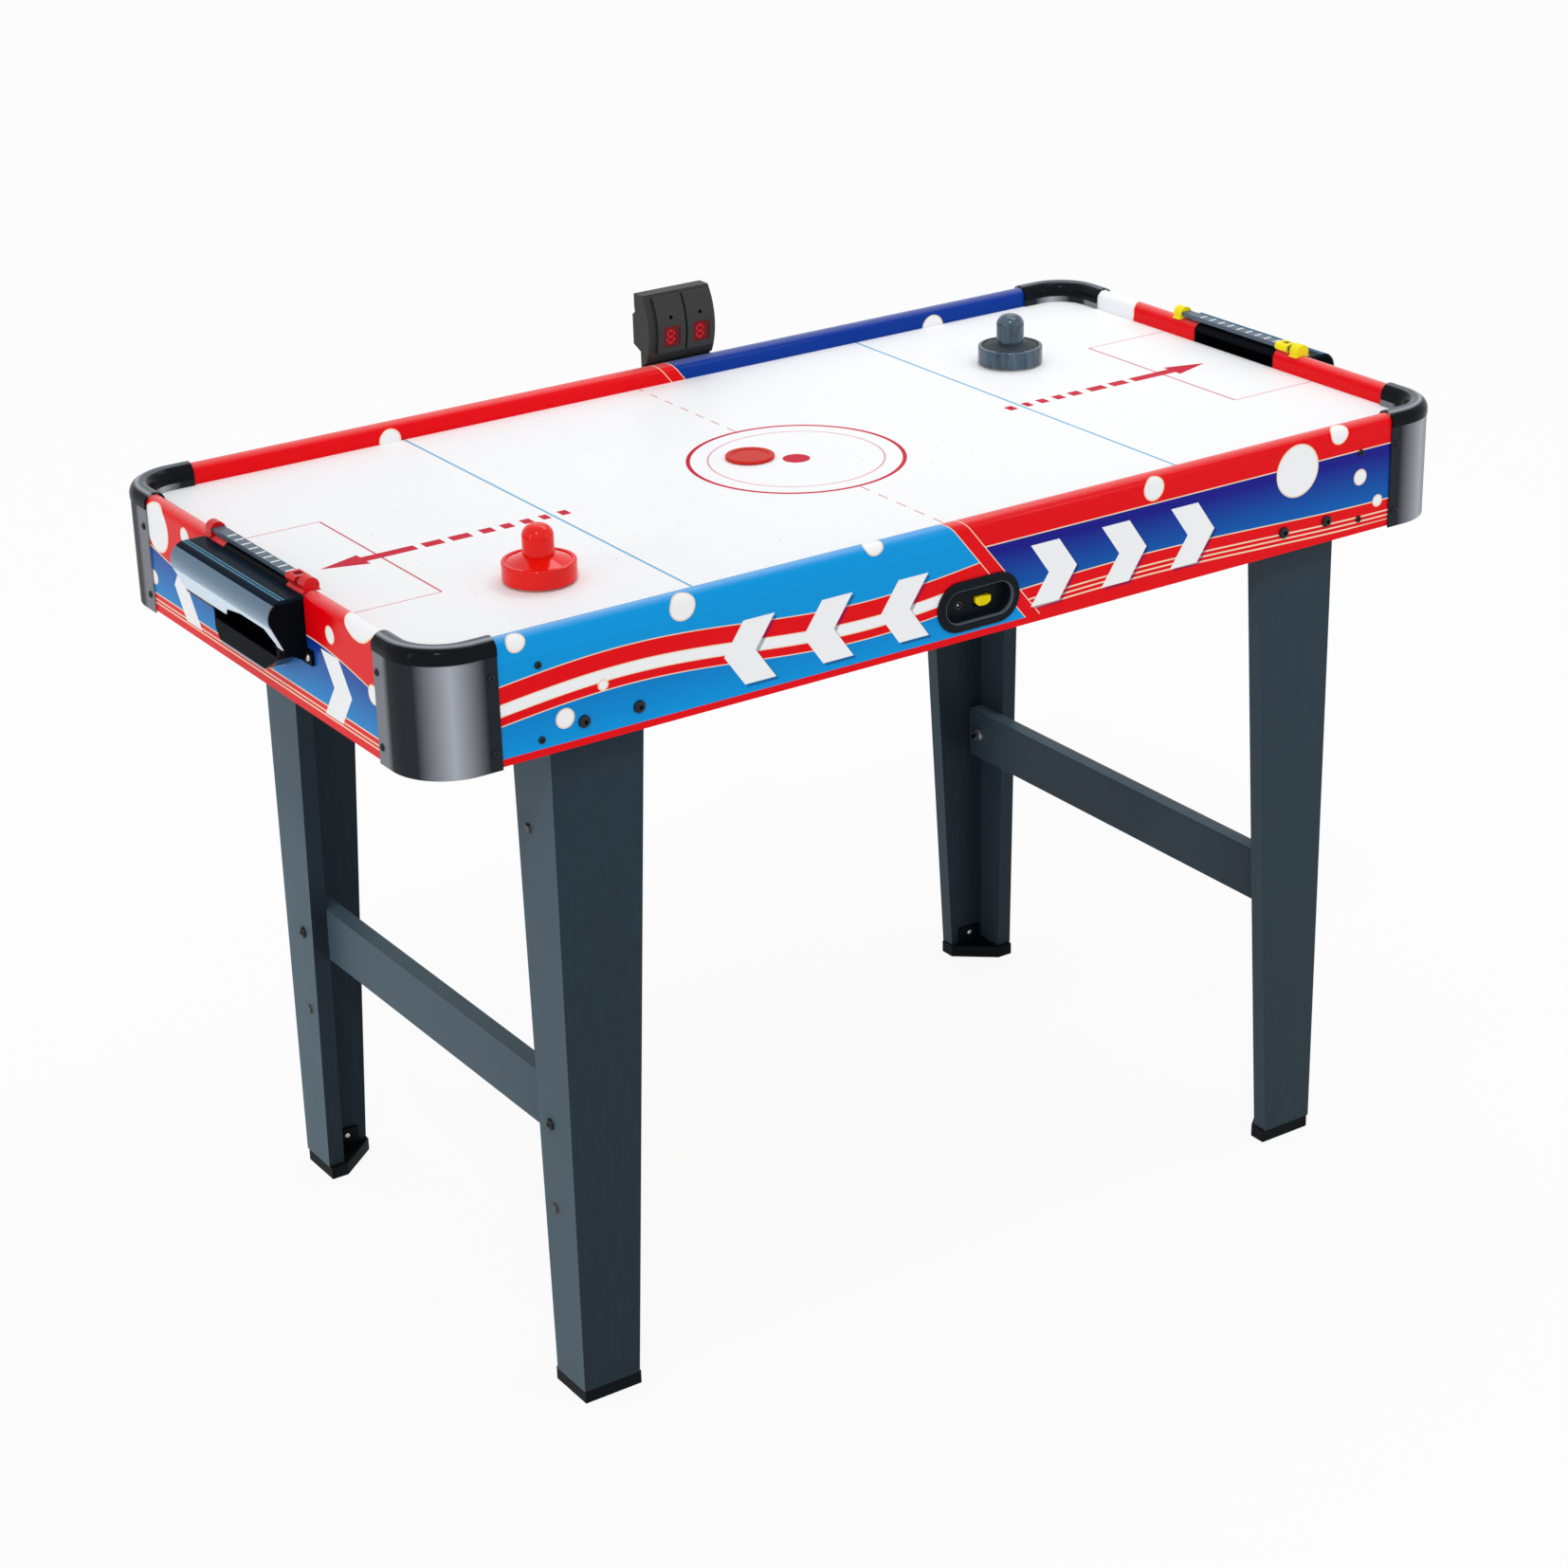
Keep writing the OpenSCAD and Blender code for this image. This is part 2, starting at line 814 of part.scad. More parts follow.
// Points of the hood's outline, set in by a wall: end of the barrel, foot of the lean, and crest
function hood_turn(set_in) = [
    hood_cx + (hood_r - set_in) * cos(hood_lean),
    hood_cz - (hood_r - set_in) * sin(hood_lean)
];
function hood_toe(set_in) = [
    hood_turn(set_in)[0] - (hood_turn(set_in)[1] - toe_z - set_in) * tan(hood_lean),
    toe_z + set_in
];
function hood_crest(set_in) = [
    hood_cx + sqrt(pow(hood_r - set_in, 2) - pow(hood_rise - set_in, 2)),
    hood_top - set_in
];
tray_slope = (toe_z - hood_z) / (hood_toe(0)[0] - out_x);

// Side outline of the right hood: flat top, barrel front, leaning lower front and rising underside
module hood_outline(set_in) {
    turn = hood_turn(set_in);
    crest = hood_crest(set_in);
    polygon([[out_x, hood_z + set_in], hood_toe(set_in), turn, crest, [out_x, hood_top - set_in]]);
    intersection() {
        translate([hood_cx, hood_cz]) circle(r = hood_r - set_in);
        translate([out_x, turn[1]]) square([2 * hood_out, crest[1] - turn[1]]);
    }
}

// Side outline of the room between the tray and the top of a hood, open to the front
module hood_room(gap) {
    far = 2 * hood_out;
    polygon([
        [out_x - 1, tray_z - tray_slope + gap],
        [out_x + far, tray_z + far * tray_slope + gap],
        [out_x + far, hood_top - hood_wall - gap],
        [out_x - 1, hood_top - hood_wall - gap]
    ]);
}

// Front outline of the scoop under the return opening, set in by its wall and open to a height
module scoop_outline(set_in, top) {
    near = hood_w / 2 - return_near - 3;
    low = hood_z - scoop_drop + set_in;
    polygon([
        [-return_slope - 12 + set_in, top],
        [-return_slope - 12 + set_in, scoop_lip - 10],
        [-return_slope - 2 + set_in, low],
        [return_slope + 14 - set_in / 2, low],
        [near - 6 - set_in, scoop_lip - 2],
        [near - set_in, top]
    ]);
}

// Black moulding of a hood: beaded top, end walls, tray, scoop, stop wall and screw lugs
module hood_body() {
    crest = hood_crest(0);
    end_set_in = cover_t + fit_gap;
    difference() {
        union() {
            along_y(hood_w) {
                hood_outline(end_set_in);
                difference() {
                    hood_outline(0);
                    hood_room(0);
                }
                for (k = [0, 1])
                    translate([crest[0] - hood_bead_r - k * hood_bead_pitch, hood_top - hood_bead_r / 2])
                        circle(r = hood_bead_r);
            }
            translate([out_x + scoop_out / 2, 0, 0]) along_x(scoop_out) scoop_outline(0, toe_z);
            span([out_x, -hood_w / 2 - lug_w, hood_z],
                [out_x + hood_wall, hood_w / 2 + lug_w, hood_z + lug_h]);
        }
        along_y(hood_w - 2 * hood_wall) hood_room(0);
        translate([out_x + (lining_t + scoop_out - scoop_wall) / 2, 0, 0])
            along_x(scoop_out - scoop_wall - lining_t) scoop_outline(scoop_wall, hood_top - hood_wall);
        intersection() {
            translate([out_x + hood_out, 0, 0])
                along_x(2 * hood_out) scoop_outline(scoop_wall, hood_top - hood_wall);
            span([out_x + scoop_out - scoop_wall - 1, -hood_w / 2, scoop_lip],
                [out_x + 2 * hood_out, hood_w / 2, hood_top]);
        }
        at_hood_screws() screw_hole(hood_wall);
    }
    span([out_x + stop_x, -hood_w / 2 + hood_wall / 2, stop_z],
        [out_x + stop_x + scoop_wall, hood_w / 2 - hood_wall / 2, hood_top - hood_wall / 2]);
}

module hood_body_left() {
    color("#14171a") at_left() hood_body();
}

module hood_body_right() {
    color("#14171a") hood_body();
}

// Barrel sheet of a hood, with the opening where the puck is taken out
module hood_cover() {
    near = hood_w / 2 - return_near;
    difference() {
        along_y(hood_w) difference() {
            intersection() {
                hood_outline(0);
                hood_room(fit_gap);
            }
            hood_outline(cover_t);
        }
        translate([out_x + hood_out / 2, 0, 0]) along_x(2 * hood_out) polygon([
            [-return_slope, hood_z],
            [0, hood_z + return_top * 0.8],
            [return_slope, hood_z + return_top],
            [near - return_near, hood_z + return_top],
            [near, hood_z + return_top * 0.6],
            [near, hood_z]
        ]);
    }
}

module hood_cover_left() {
    color("silver") at_left() hood_cover();
}

module hood_cover_right() {
    color("silver") hood_cover();
}

// Flat bar over the right rail, which carries the score marks
module score_bar() {
    translate([bar_x - bar_w / 2, -bar_l / 2, bar_z]) cube([bar_w, bar_l, bar_t]);
}

module score_bar_left() {
    color("#454c54") at_left() score_bar();
}

module score_bar_right() {
    color("#454c54") score_bar();
}

// Saddles on the rail that hold the ends of the score bar
module score_brackets() {
    head_r = bar_w / 2 + bracket_wall - 1.5;
    for (s = [-1, 1]) translate([0, s * bracket_y, 0]) difference() {
        along_y(bracket_w) {
            translate([bar_x, nose_z]) circle(r = nose_r + bracket_wall);
            translate([bar_x, bar_z + bar_t / 2 - 1]) circle(r = head_r);
        }
        along_y(bracket_w + 2) translate([bar_x, nose_z]) circle(r = nose_r + fit_gap);
        translate([bar_x - board_t, -bracket_w, nose_z - board_t])
            cube([2 * board_t, 2 * bracket_w, nose_r + board_t - 1]);
        translate([bar_x - bar_w / 2 - fit_gap, -s * bracket_y - bar_l / 2 - fit_gap, bar_z - fit_gap])
            cube([bar_w + 2 * fit_gap, bar_l + 2 * fit_gap, bar_t + 2 * fit_gap]);
    }
}

module score_brackets_left() {
    color("red") at_left() score_brackets();
}

module score_brackets_right() {
    color("yellow") score_brackets();
}

// Slider that loops round the score bar, with a window over the marks
module score_slider() {
    outer_w = bar_w + 2 * slider_wall + 2 * run_gap;
    outer_h = bar_t + 2 * (slider_wall - run_gap);
    translate([bar_x, -slider_travel, bar_z + bar_t / 2]) difference() {
        along_y(slider_w) stadium(outer_w, outer_h);
        along_y(slider_w + 2) square([bar_w + 2 * run_gap, bar_t + 2 * run_gap], center = true);
        translate([-bar_w / 3, -slider_w / 4, 0]) cube([2 * bar_w / 3, slider_w / 2, outer_h]);
    }
}

module score_slider_left() {
    color("red") mirror([1, 0, 0]) score_slider();
}

module score_slider_right() {
    color("yellow") score_slider();
}

// Side outline of the score unit: curved front, shouldered back, sloped foot and the stem behind the board
module unit_outline() {
    intersection() {
        translate([unit_cy, unit_mid]) circle(r = unit_r);
        polygon([
            [unit_front - 1, unit_foot],
            [out_y + stem_t, unit_foot],
            [out_y + stem_t, unit_foot + unit_waist],
            [unit_back, unit_foot + unit_waist + 6],
            [unit_back, unit_foot + unit_shoulder],
            [unit_back - 5, unit_foot + unit_shoulder + 3],
            [unit_back - 4, unit_foot + unit_shoulder + 11],
            [unit_back - 4, unit_top],
            [unit_front - 1, unit_top]
        ]);
    }
    translate([out_y, unit_foot - stem_h]) square([stem_t, stem_h]);
}

// Puts a piece on the curved front at this place along X and height, facing out of it
module on_unit_face(x, z, proud) {
    translate([x, unit_cy, unit_mid]) rotate([asin((unit_mid - z) / unit_r), 0, 0])
        translate([0, -unit_r - proud, 0]) rotate([90, 0, 0]) children();
}

function panel_x(i) = unit_x - unit_w / 2 + panel_edge + panel_w / 2 + i * (panel_w + panel_gap);

module at_windows() {
    for (i = [0, 1]) on_unit_face(panel_x(i), window_z, window_proud) children();
}

module at_lamps() {
    for (i = [0, 1]) on_unit_face(panel_x(i), lamp_z, 0) children();
}

module window_pocket() {
    translate([-window_w / 2 - fit_gap, -window_h / 2 - fit_gap, -window_t])
        cube([window_w + 2 * fit_gap, window_h + 2 * fit_gap, window_t + panel_t]);
}

module score_unit_case() {
    color("#35373a") difference() {
        translate([unit_x, 0, 0]) along_x(unit_w) unit_outline();
        at_windows() window_pocket();
        at_lamps() translate([0, 0, -4]) cylinder(d = lamp_d, h = 4 + 2 * panel_t);
        at_unit_screws() screw_hole(stem_t);
    }
}

// Two raised face panels that follow the curved front
module score_unit_panels() {
    seat_r = unit_r + pin_gap;
    color("#3c3e41") for (i = [0, 1]) difference() {
        translate([panel_x(i), 0, 0]) along_x(panel_w) intersection() {
            difference() {
                translate([unit_cy, unit_mid]) circle(r = seat_r + panel_t);
                translate([unit_cy, unit_mid]) circle(r = seat_r);
            }
            translate([unit_front - 2 * panel_t, unit_foot + panel_foot])
                square([unit_r / 2, unit_top - unit_foot - panel_foot - 3]);
        }
        at_windows() window_pocket();
        at_lamps() translate([0, 0, -4]) cylinder(d = lamp_d, h = 4 + 2 * panel_t);
    }
}

module score_unit_windows() {
    color("darkred") at_windows() translate([-window_w / 2, -window_h / 2, -window_t])
        cube([window_w, window_h, window_t]);
}

// Seven bars of a numeral on each window
module score_unit_digits() {
    color("red") at_windows() translate([-1.5, 0, 0]) linear_extrude(height = segment_t) {
        for (k = [-1, 0, 1])
            translate([0, k * segment_h]) square([segment_l - segment_w, segment_w], center = true);
        for (s = [-1, 1], k = [-0.5, 0.5])
            translate([s * segment_l / 2, k * segment_h])
                square([segment_w * 0.9, segment_h - segment_w], center = true);
    }
}

// Oval cup in the front board: stepped rim and wall
module switch_cup() {
    color("#1a1d21") difference() {
        union() {
            translate([cup_x, -out_y - rim_t / 2, cup_z]) along_y(rim_t) stadium(cup_w, cup_h);
            translate([cup_x, -out_y - rim_t - lip_t / 2, cup_z]) along_y(lip_t)
                stadium(cup_in_w + 2 * lip_w, cup_in_h + 2 * lip_w);
            translate([cup_x, cup_floor_y - cup_depth / 2, cup_z])
                along_y(cup_depth) stadium(cup_in_w + 2 * cup_wall, cup_in_h + 2 * cup_wall);
        }
        translate([cup_x, cup_floor_y, cup_z]) along_y(4 * cup_depth) stadium(cup_in_w, cup_in_h);
    }
}

// Floor of the cup, with the holes of the switch and the inlet
module cup_plate() {
    color("#1a1d21") difference() {
        translate([cup_x, cup_floor_y + cup_wall / 2, cup_z])
            along_y(cup_wall) stadium(cup_in_w + 2 * cup_wall, cup_in_h + 2 * cup_wall);
        translate([rocker_x, cup_floor_y, switch_z])
            cube([rocker_l + 3, 4 * cup_wall, rocker_w + 2 * run_gap], center = true);
        translate([jack_x, cup_floor_y, switch_z]) out_long()
            cylinder(d = jack_nose_d + 2 * fit_gap, h = 4 * cup_wall, center = true);
    }
}

// Housing behind the cup's floor that holds the rocker on its pin
module switch_body() {
    in_l = rocker_l + 3;
    in_w = rocker_w + 2 * run_gap;
    back = cup_floor_y + cup_wall;
    color("black") translate([rocker_x, back, switch_z]) difference() {
        translate([-in_l / 2 - switch_wall, 0, -in_w / 2 - switch_wall])
            cube([in_l + 2 * switch_wall, switch_deep, in_w + 2 * switch_wall]);
        translate([-in_l / 2, -1, -in_w / 2]) cube([in_l, switch_deep - switch_wall + 1, in_w]);
        translate([0, rocker_pin_y - back, 0])
            cylinder(d = rocker_pin_d + 2 * pin_gap, h = 2 * rocker_w + 10, center = true);
    }
}

// Rocker with a dipped half-moon face and a pin, tipped so that its right end stands out
module power_rocker() {
    lift = rocker_pin_y - cup_floor_y;
    pin_l = rocker_w + 2 * run_gap + 2 * switch_wall;
    moon_r = rocker_l * 0.56;
    color("yellow") translate([rocker_x, rocker_pin_y, switch_z]) rotate([0, 0, -rocker_tilt]) {
        intersection() {
            translate([0, 0, -rocker_w / 2]) linear_extrude(height = rocker_w) polygon([
                [-rocker_l / 2, 0],
                [-rocker_l / 2, -rocker_face - lift],
                [0, -rocker_dip - lift],
                [rocker_l / 2, -rocker_face - lift],
                [rocker_l / 2, 0],
                [rocker_l / 4, rocker_deep],
                [-rocker_l / 4, rocker_deep]
            ]);
            along_y(8 * rocker_deep) translate([0, moon_r - rocker_w / 2]) circle(r = moon_r);
        }
        cylinder(d = rocker_pin_d, h = pin_l, center = true);
    }
}

// Barrel socket for the power plug
module power_jack() {
    back = cup_floor_y + cup_wall;
    color("#101214") translate([jack_x, 0, switch_z]) {
        difference() {
            union() {
                translate([0, back, 0]) out_long() cylinder(d = jack_d, h = jack_deep);
                translate([0, cup_floor_y, 0]) out_long() cylinder(d = jack_nose_d, h = cup_wall + 1);
            }
            translate([0, cup_floor_y - 1, 0]) out_long() cylinder(d = jack_bore_d, h = jack_deep);
        }
        translate([0, cup_floor_y + 1, 0]) out_long() cylinder(d = jack_pin_d, h = jack_deep);
    }
}

// Round housing under the chamber floor: flange, wall and a bottom with the air inlet
module blower_housing() {
    color("#202327") difference() {
        union() {
            translate([0, 0, floor_under - flange_t])
                cylinder(r = blower_r + blower_wall + flange_w, h = flange_t);
            translate([0, 0, blower_z]) cylinder(r = blower_r + blower_wall, h = blower_h);
        }
        translate([0, 0, blower_z + blower_wall]) cylinder(r = blower_r, h = blower_h);
        translate([0, 0, blower_z - 1]) cylinder(r = inlet_r, h = blower_wall + 2);
        at_flange_screws() screw_hole(flange_t);
    }
}

// Finger guard over the air inlet: rings on four spokes
module intake_grille() {
    rings = [grille_r, grille_r * 0.68, grille_r * 0.38];
    color("black") translate([0, 0, blower_z - grille_t]) linear_extrude(height = grille_t) {
        for (r = rings) difference() {
            circle(r = r);
            circle(r = r - 2 * grille_bar);
        }
        for (a = [0, 90]) rotate(a) square([2 * (grille_r - grille_bar), grille_bar], center = true);
    }
}

// Three-armed bridge over the floor's opening that carries the motor
module motor_bridge() {
    color("gray") difference() {
        translate([0, 0, chamber_z]) linear_extrude(height = bridge_t) {
            circle(r = motor_r + 4);
            for (a = [0 : 120 : 240]) rotate(a)
                translate([0, -bridge_arm_w / 2]) square([blower_r + flange_w, bridge_arm_w]);
        }
        translate([0, 0, chamber_z - 1]) cylinder(r = motor_boss_r + fit_gap, h = bridge_t + 2);
        at_bridge_screws() screw_hole(bridge_t);
    }
}

module blower_motor() {
    base = chamber_z + bridge_t;
    color("silver") difference() {
        union() {
            translate([0, 0, base]) cylinder(r = motor_r, h = motor_h);
            translate([0, 0, chamber_z]) cylinder(r = motor_boss_r, h = bridge_t + 1);
        }
        translate([0, 0, chamber_z - 1]) cylinder(r = shaft_r + pin_gap, h = motor_h);
    }
}

module motor_shaft() {
    top = chamber_z + motor_h - 2;
    bottom = wheel_z + wheel_h / 2;
    color("silver") translate([0, 0, bottom]) cylinder(r = shaft_r, h = top - bottom);
}

// One curved blade between the inlet and the rim of the wheel
module blade() {
    blade_r = (wheel_r - inlet_r) * 1.1;
    intersection() {
        difference() {
            circle(r = wheel_r - 0.5);
            circle(r = inlet_r + 1);
        }
        rotate(blade_sweep) translate([(wheel_r + inlet_r) / 2, -blade_r * 0.8]) difference() {
            circle(r = blade_r);
            circle(r = blade_r - blade_t);
            translate([-2 * blade_r, -2 * blade_r]) square([4 * blade_r, 2 * blade_r]);
            translate([-2 * blade_r, 0]) square([2 * blade_r, 2 * blade_r]);
        }
    }
}

// Blower wheel: back plate and hub on top, curved blades, and a ring round the inlet
module blower_wheel() {
    plate_z = wheel_z + wheel_h - wheel_plate_t;
    color("#2f3338") difference() {
        union() {
            translate([0, 0, plate_z]) cylinder(r = wheel_r, h = wheel_plate_t);
            translate([0, 0, wheel_z]) linear_extrude(height = wheel_plate_t) difference() {
                circle(r = wheel_r);
                circle(r = inlet_r);
            }
            translate([0, 0, wheel_z]) linear_extrude(height = wheel_h)
                for (i = [0 : blades - 1]) rotate(i * 360 / blades) blade();
            translate([0, 0, wheel_z + wheel_h / 2]) cylinder(r = hub_r, h = wheel_h / 2 + 4);
        }
        translate([0, 0, wheel_z]) cylinder(r = shaft_r + pin_gap / 2, h = 2 * wheel_h);
    }
}

// Puck with rounded edges and a shallow dish in its top
module puck() {
    edge = puck_t / 3;
    color("#e03a2c") translate([puck_at[0], puck_at[1], play_z + air_film]) rotate_extrude() difference() {
        union() {
            square([puck_d / 2 - edge, puck_t]);
            translate([0, edge]) square([puck_d / 2, puck_t - 2 * edge]);
            for (z = [edge, puck_t - edge]) translate([puck_d / 2 - edge, z]) circle(r = edge);
        }
        translate([0, puck_t - 0.6]) square([puck_d / 2 - 6, 1]);
    }
}

// Turned outline of a striker: base with a rim round a shallow dish, and a knob with a round shoulder
module striker_outline() {
    base_r = striker_d / 2;
    base_h = striker_h * 0.355;
    edge_r = 1.5;
    rim_w = 4;
    dish_z = base_h - 1;
    knob_r = striker_d * 0.213;
    knob_z = striker_h * 0.435;
    shoulder_r = knob_r * 0.75;
    intersection() {
        square([base_r, striker_h]);
        union() {
            square([base_r - edge_r, base_h - 2 * edge_r]);
            translate([0, edge_r]) square([base_r, base_h - 2 * edge_r]);
            translate([base_r - rim_w, 0]) square([rim_w - edge_r, base_h]);
            for (z = [edge_r, base_h - edge_r]) translate([base_r - edge_r, z]) circle(r = edge_r);
            square([base_r - rim_w, dish_z]);
            polygon([[0, edge_r], [base_r - rim_w, dish_z], [knob_r, knob_z], [0, knob_z]]);
            square([knob_r, striker_h - shoulder_r]);
            translate([knob_r - shoulder_r, striker_h - shoulder_r]) circle(r = shoulder_r);
            square([knob_r - shoulder_r, striker_h]);
        }
    }
}

module striker(at) {
    translate([at[0], at[1], play_z + air_film + felt_t]) rotate_extrude() striker_outline();
}

module striker_felt(at) {
    translate([at[0], at[1], play_z + air_film]) cylinder(d = striker_d - 8, h = felt_t);
}

module striker_left() {
    color("red") striker(striker_left_at);
}

module striker_left_felt() {
    color("ivory") striker_felt(striker_left_at);
}

module striker_right() {
    color("#1c2126") striker(striker_right_at);
}

module striker_right_felt() {
    color("ivory") striker_felt(striker_right_at);
}

front_apron();
back_apron();
left_apron();
right_apron();
play_board();
chamber_floor();
battens();
cross_ribs();
corner_cap_front_left();
corner_cap_front_right();
corner_cap_back_left();
corner_cap_back_right();
corner_blocks();
corner_screws();
panel_screws();
leg_front_left();
leg_front_right();
leg_back_left();
leg_back_right();
foot_front_left();
foot_front_right();
foot_back_left();
foot_back_right();
stretcher_left();
stretcher_right();
frame_bolts();
frame_nuts();
hole_plugs();
goal_frame_left();
goal_frame_right();
hood_body_left();
hood_body_right();
hood_cover_left();
hood_cover_right();
score_bar_left();
score_bar_right();
score_brackets_left();
score_brackets_right();
score_slider_left();
score_slider_right();
score_unit_case();
score_unit_panels();
score_unit_windows();
score_unit_digits();
switch_cup();
cup_plate();
switch_body();
power_rocker();
power_jack();
blower_housing();
intake_grille();
motor_bridge();
blower_motor();
motor_shaft();
blower_wheel();
puck();
striker_left();
striker_left_felt();
striker_right();
striker_right_felt();
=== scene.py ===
"""Looks of an air hockey table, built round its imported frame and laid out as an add-on."""

import json
import math

import bmesh
import bpy
from bpy.props import FloatProperty, FloatVectorProperty, IntProperty, PointerProperty
from mathutils import Matrix, Vector

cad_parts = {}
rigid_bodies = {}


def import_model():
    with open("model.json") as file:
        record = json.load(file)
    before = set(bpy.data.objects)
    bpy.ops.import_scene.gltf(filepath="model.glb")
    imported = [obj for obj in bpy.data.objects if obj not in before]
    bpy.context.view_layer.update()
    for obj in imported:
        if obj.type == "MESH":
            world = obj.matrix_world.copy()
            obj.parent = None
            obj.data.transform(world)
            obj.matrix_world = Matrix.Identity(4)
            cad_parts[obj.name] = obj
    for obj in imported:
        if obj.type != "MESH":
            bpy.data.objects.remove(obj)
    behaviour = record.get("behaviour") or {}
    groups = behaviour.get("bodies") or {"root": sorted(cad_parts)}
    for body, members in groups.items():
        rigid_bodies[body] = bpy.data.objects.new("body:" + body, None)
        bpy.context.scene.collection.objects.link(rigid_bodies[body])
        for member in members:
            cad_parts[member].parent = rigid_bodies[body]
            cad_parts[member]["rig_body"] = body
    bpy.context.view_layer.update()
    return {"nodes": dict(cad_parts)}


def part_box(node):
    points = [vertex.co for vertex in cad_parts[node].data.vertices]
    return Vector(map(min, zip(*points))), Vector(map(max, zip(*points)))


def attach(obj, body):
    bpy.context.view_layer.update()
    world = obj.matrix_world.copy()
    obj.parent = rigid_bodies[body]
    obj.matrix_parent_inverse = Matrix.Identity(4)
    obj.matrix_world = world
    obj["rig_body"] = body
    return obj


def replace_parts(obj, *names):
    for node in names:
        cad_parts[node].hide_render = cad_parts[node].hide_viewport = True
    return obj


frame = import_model()

bl_info = {
    "name": "Air Hockey Table",
    "version": (1, 0, 0),
    "blender": (4, 5, 0),
    "location": "View3D > Sidebar > Hockey Table",
    "description": "Dresses a packed air hockey table with finishes, fasteners and score marks",
    "category": "Object",
}

MM = 0.001
COOL = (0.7, 0.88, 1.0, 1.0)
PRINT_EDGE = 0.4 * MM
SHARP_EDGE = 1e-6
WELD = 1e-6
FLAT_ANGLE = math.radians(0.5)
SMOOTH_ANGLE = math.radians(40)
CORNERS = ("front_left", "front_right", "back_left", "back_right")
ENDS = ("left", "right")


def srgb(red, green, blue):
    """Turns a screen colour of 0 to 255 into the linear colour that shaders use."""
    def linear(value):
        share = value / 255
        return share / 12.92 if share <= 0.04045 else ((share + 0.055) / 1.055) ** 2.4
    return (linear(red), linear(green), linear(blue))


def colour_setting(name, description, default):
    """A property for a linear colour."""
    return FloatVectorProperty(name=name, description=description, default=default, size=3, min=0, max=1,
                               subtype="COLOR")


def size_setting(name, description, default):
    """A property for a length in metres."""
    return FloatProperty(name=name, description=description, default=default, min=0, subtype="DISTANCE",
                         unit="LENGTH")


class HockeyColours(bpy.types.PropertyGroup):
    """Colours of the table's finishes"""

    sky: colour_setting("Sky Blue", "Light blue of the board print", srgb(0, 156, 230))
    royal: colour_setting("Royal Blue", "Middle blue of the board print", srgb(0, 96, 182))
    indigo: colour_setting("Indigo", "Dark blue of the board print", srgb(22, 22, 140))
    navy: colour_setting("Navy", "Dark blue of the back rail", srgb(0, 54, 152))
    red: colour_setting("Red", "Red of the board print", srgb(236, 2, 16))
    cream: colour_setting("Cream", "Fine outlines in the board print", srgb(250, 226, 196))
    white: colour_setting("White", "White of the print and the rink", srgb(250, 252, 254))
    rink_red: colour_setting("Rink Red", "Red lines on the rink", srgb(204, 20, 52))
    rink_pink: colour_setting("Rink Pink", "Thin pale red lines on the rink", srgb(226, 150, 164))
    rink_blue: colour_setting("Rink Blue", "Blue lines on the rink", srgb(128, 186, 222))
    laminate: colour_setting("Laminate", "Charcoal laminate of the legs", srgb(40, 54, 66))
    cap: colour_setting("Cap", "Charcoal skirt of the corner caps", srgb(58, 64, 70))
    black: colour_setting("Black", "Glossy black mouldings", srgb(10, 15, 20))
    silver: colour_setting("Silver", "Silver barrels of the hoods", srgb(166, 180, 194))
    bead_red: colour_setting("Bead Red", "Red scorers and striker", srgb(214, 18, 22))
    bead_yellow: colour_setting("Bead Yellow", "Yellow scorers and rocker", srgb(255, 228, 0))
    puck: colour_setting("Puck", "Puck", srgb(206, 44, 34))


class HockeySizes(bpy.types.PropertyGroup):
    """Sizes of the print, the rink lines and the small pieces"""

    print_shift: size_setting("Print Shift", "Distance of the rink print from the middle", 6 * MM)
    blue_line: size_setting("Blue Line", "Distance of the blue lines from the middle", 284 * MM)
    crease_depth: size_setting("Crease Line", "Distance of the crease line from the middle", 472 * MM)
    crease_half: size_setting("Crease Half", "Half the width of the crease box", 122 * MM)
    circle_r: size_setting("Circle Radius", "Radius of the centre circle", 109 * MM)
    inner_circle_r: size_setting("Inner Circle", "Radius of the thin inner circle", 89 * MM)
    spot_r: size_setting("Spot Radius", "Radius of the centre spot", 14 * MM)
    arrow_tip: size_setting("Arrow Tip", "Distance of the arrow tips from the middle", 533.5 * MM)
    arrow_head: size_setting("Arrow Head", "Length of an arrow head", 45.5 * MM)
    arrow_half: size_setting("Arrow Half", "Half the width of an arrow head", 14.5 * MM)
    line_w: size_setting("Line Width", "Width of the main rink lines", 4.3 * MM)
    fine_line_w: size_setting("Fine Line Width", "Width of the fine rink lines", 1.7 * MM)
    chevron_pitch: size_setting("Chevron Pitch", "Distance between the chevrons in the print", 86 * MM)
    chevron_w: size_setting("Chevron Width", "Width of a chevron's arm along the board", 34 * MM)
    chevron_h: size_setting("Chevron Height", "Height of a chevron", 62 * MM)
    edge_round: size_setting("Edge Round", "Rounding of board and moulding edges", 0.9 * MM)
    screw_head_h: size_setting("Screw Head", "Height of a screw's head", 2 * MM)
    bolt_head_h: size_setting("Bolt Head", "Height of a frame bolt's head", 3.4 * MM)
    mark_pitch: size_setting("Mark Pitch", "Distance between score marks", 15 * MM)
    mark_w: size_setting("Mark Width", "Width of a score mark", 2.6 * MM)
    marks: IntProperty(name="Marks", description="Score marks on each bar", default=9, min=1, max=20)


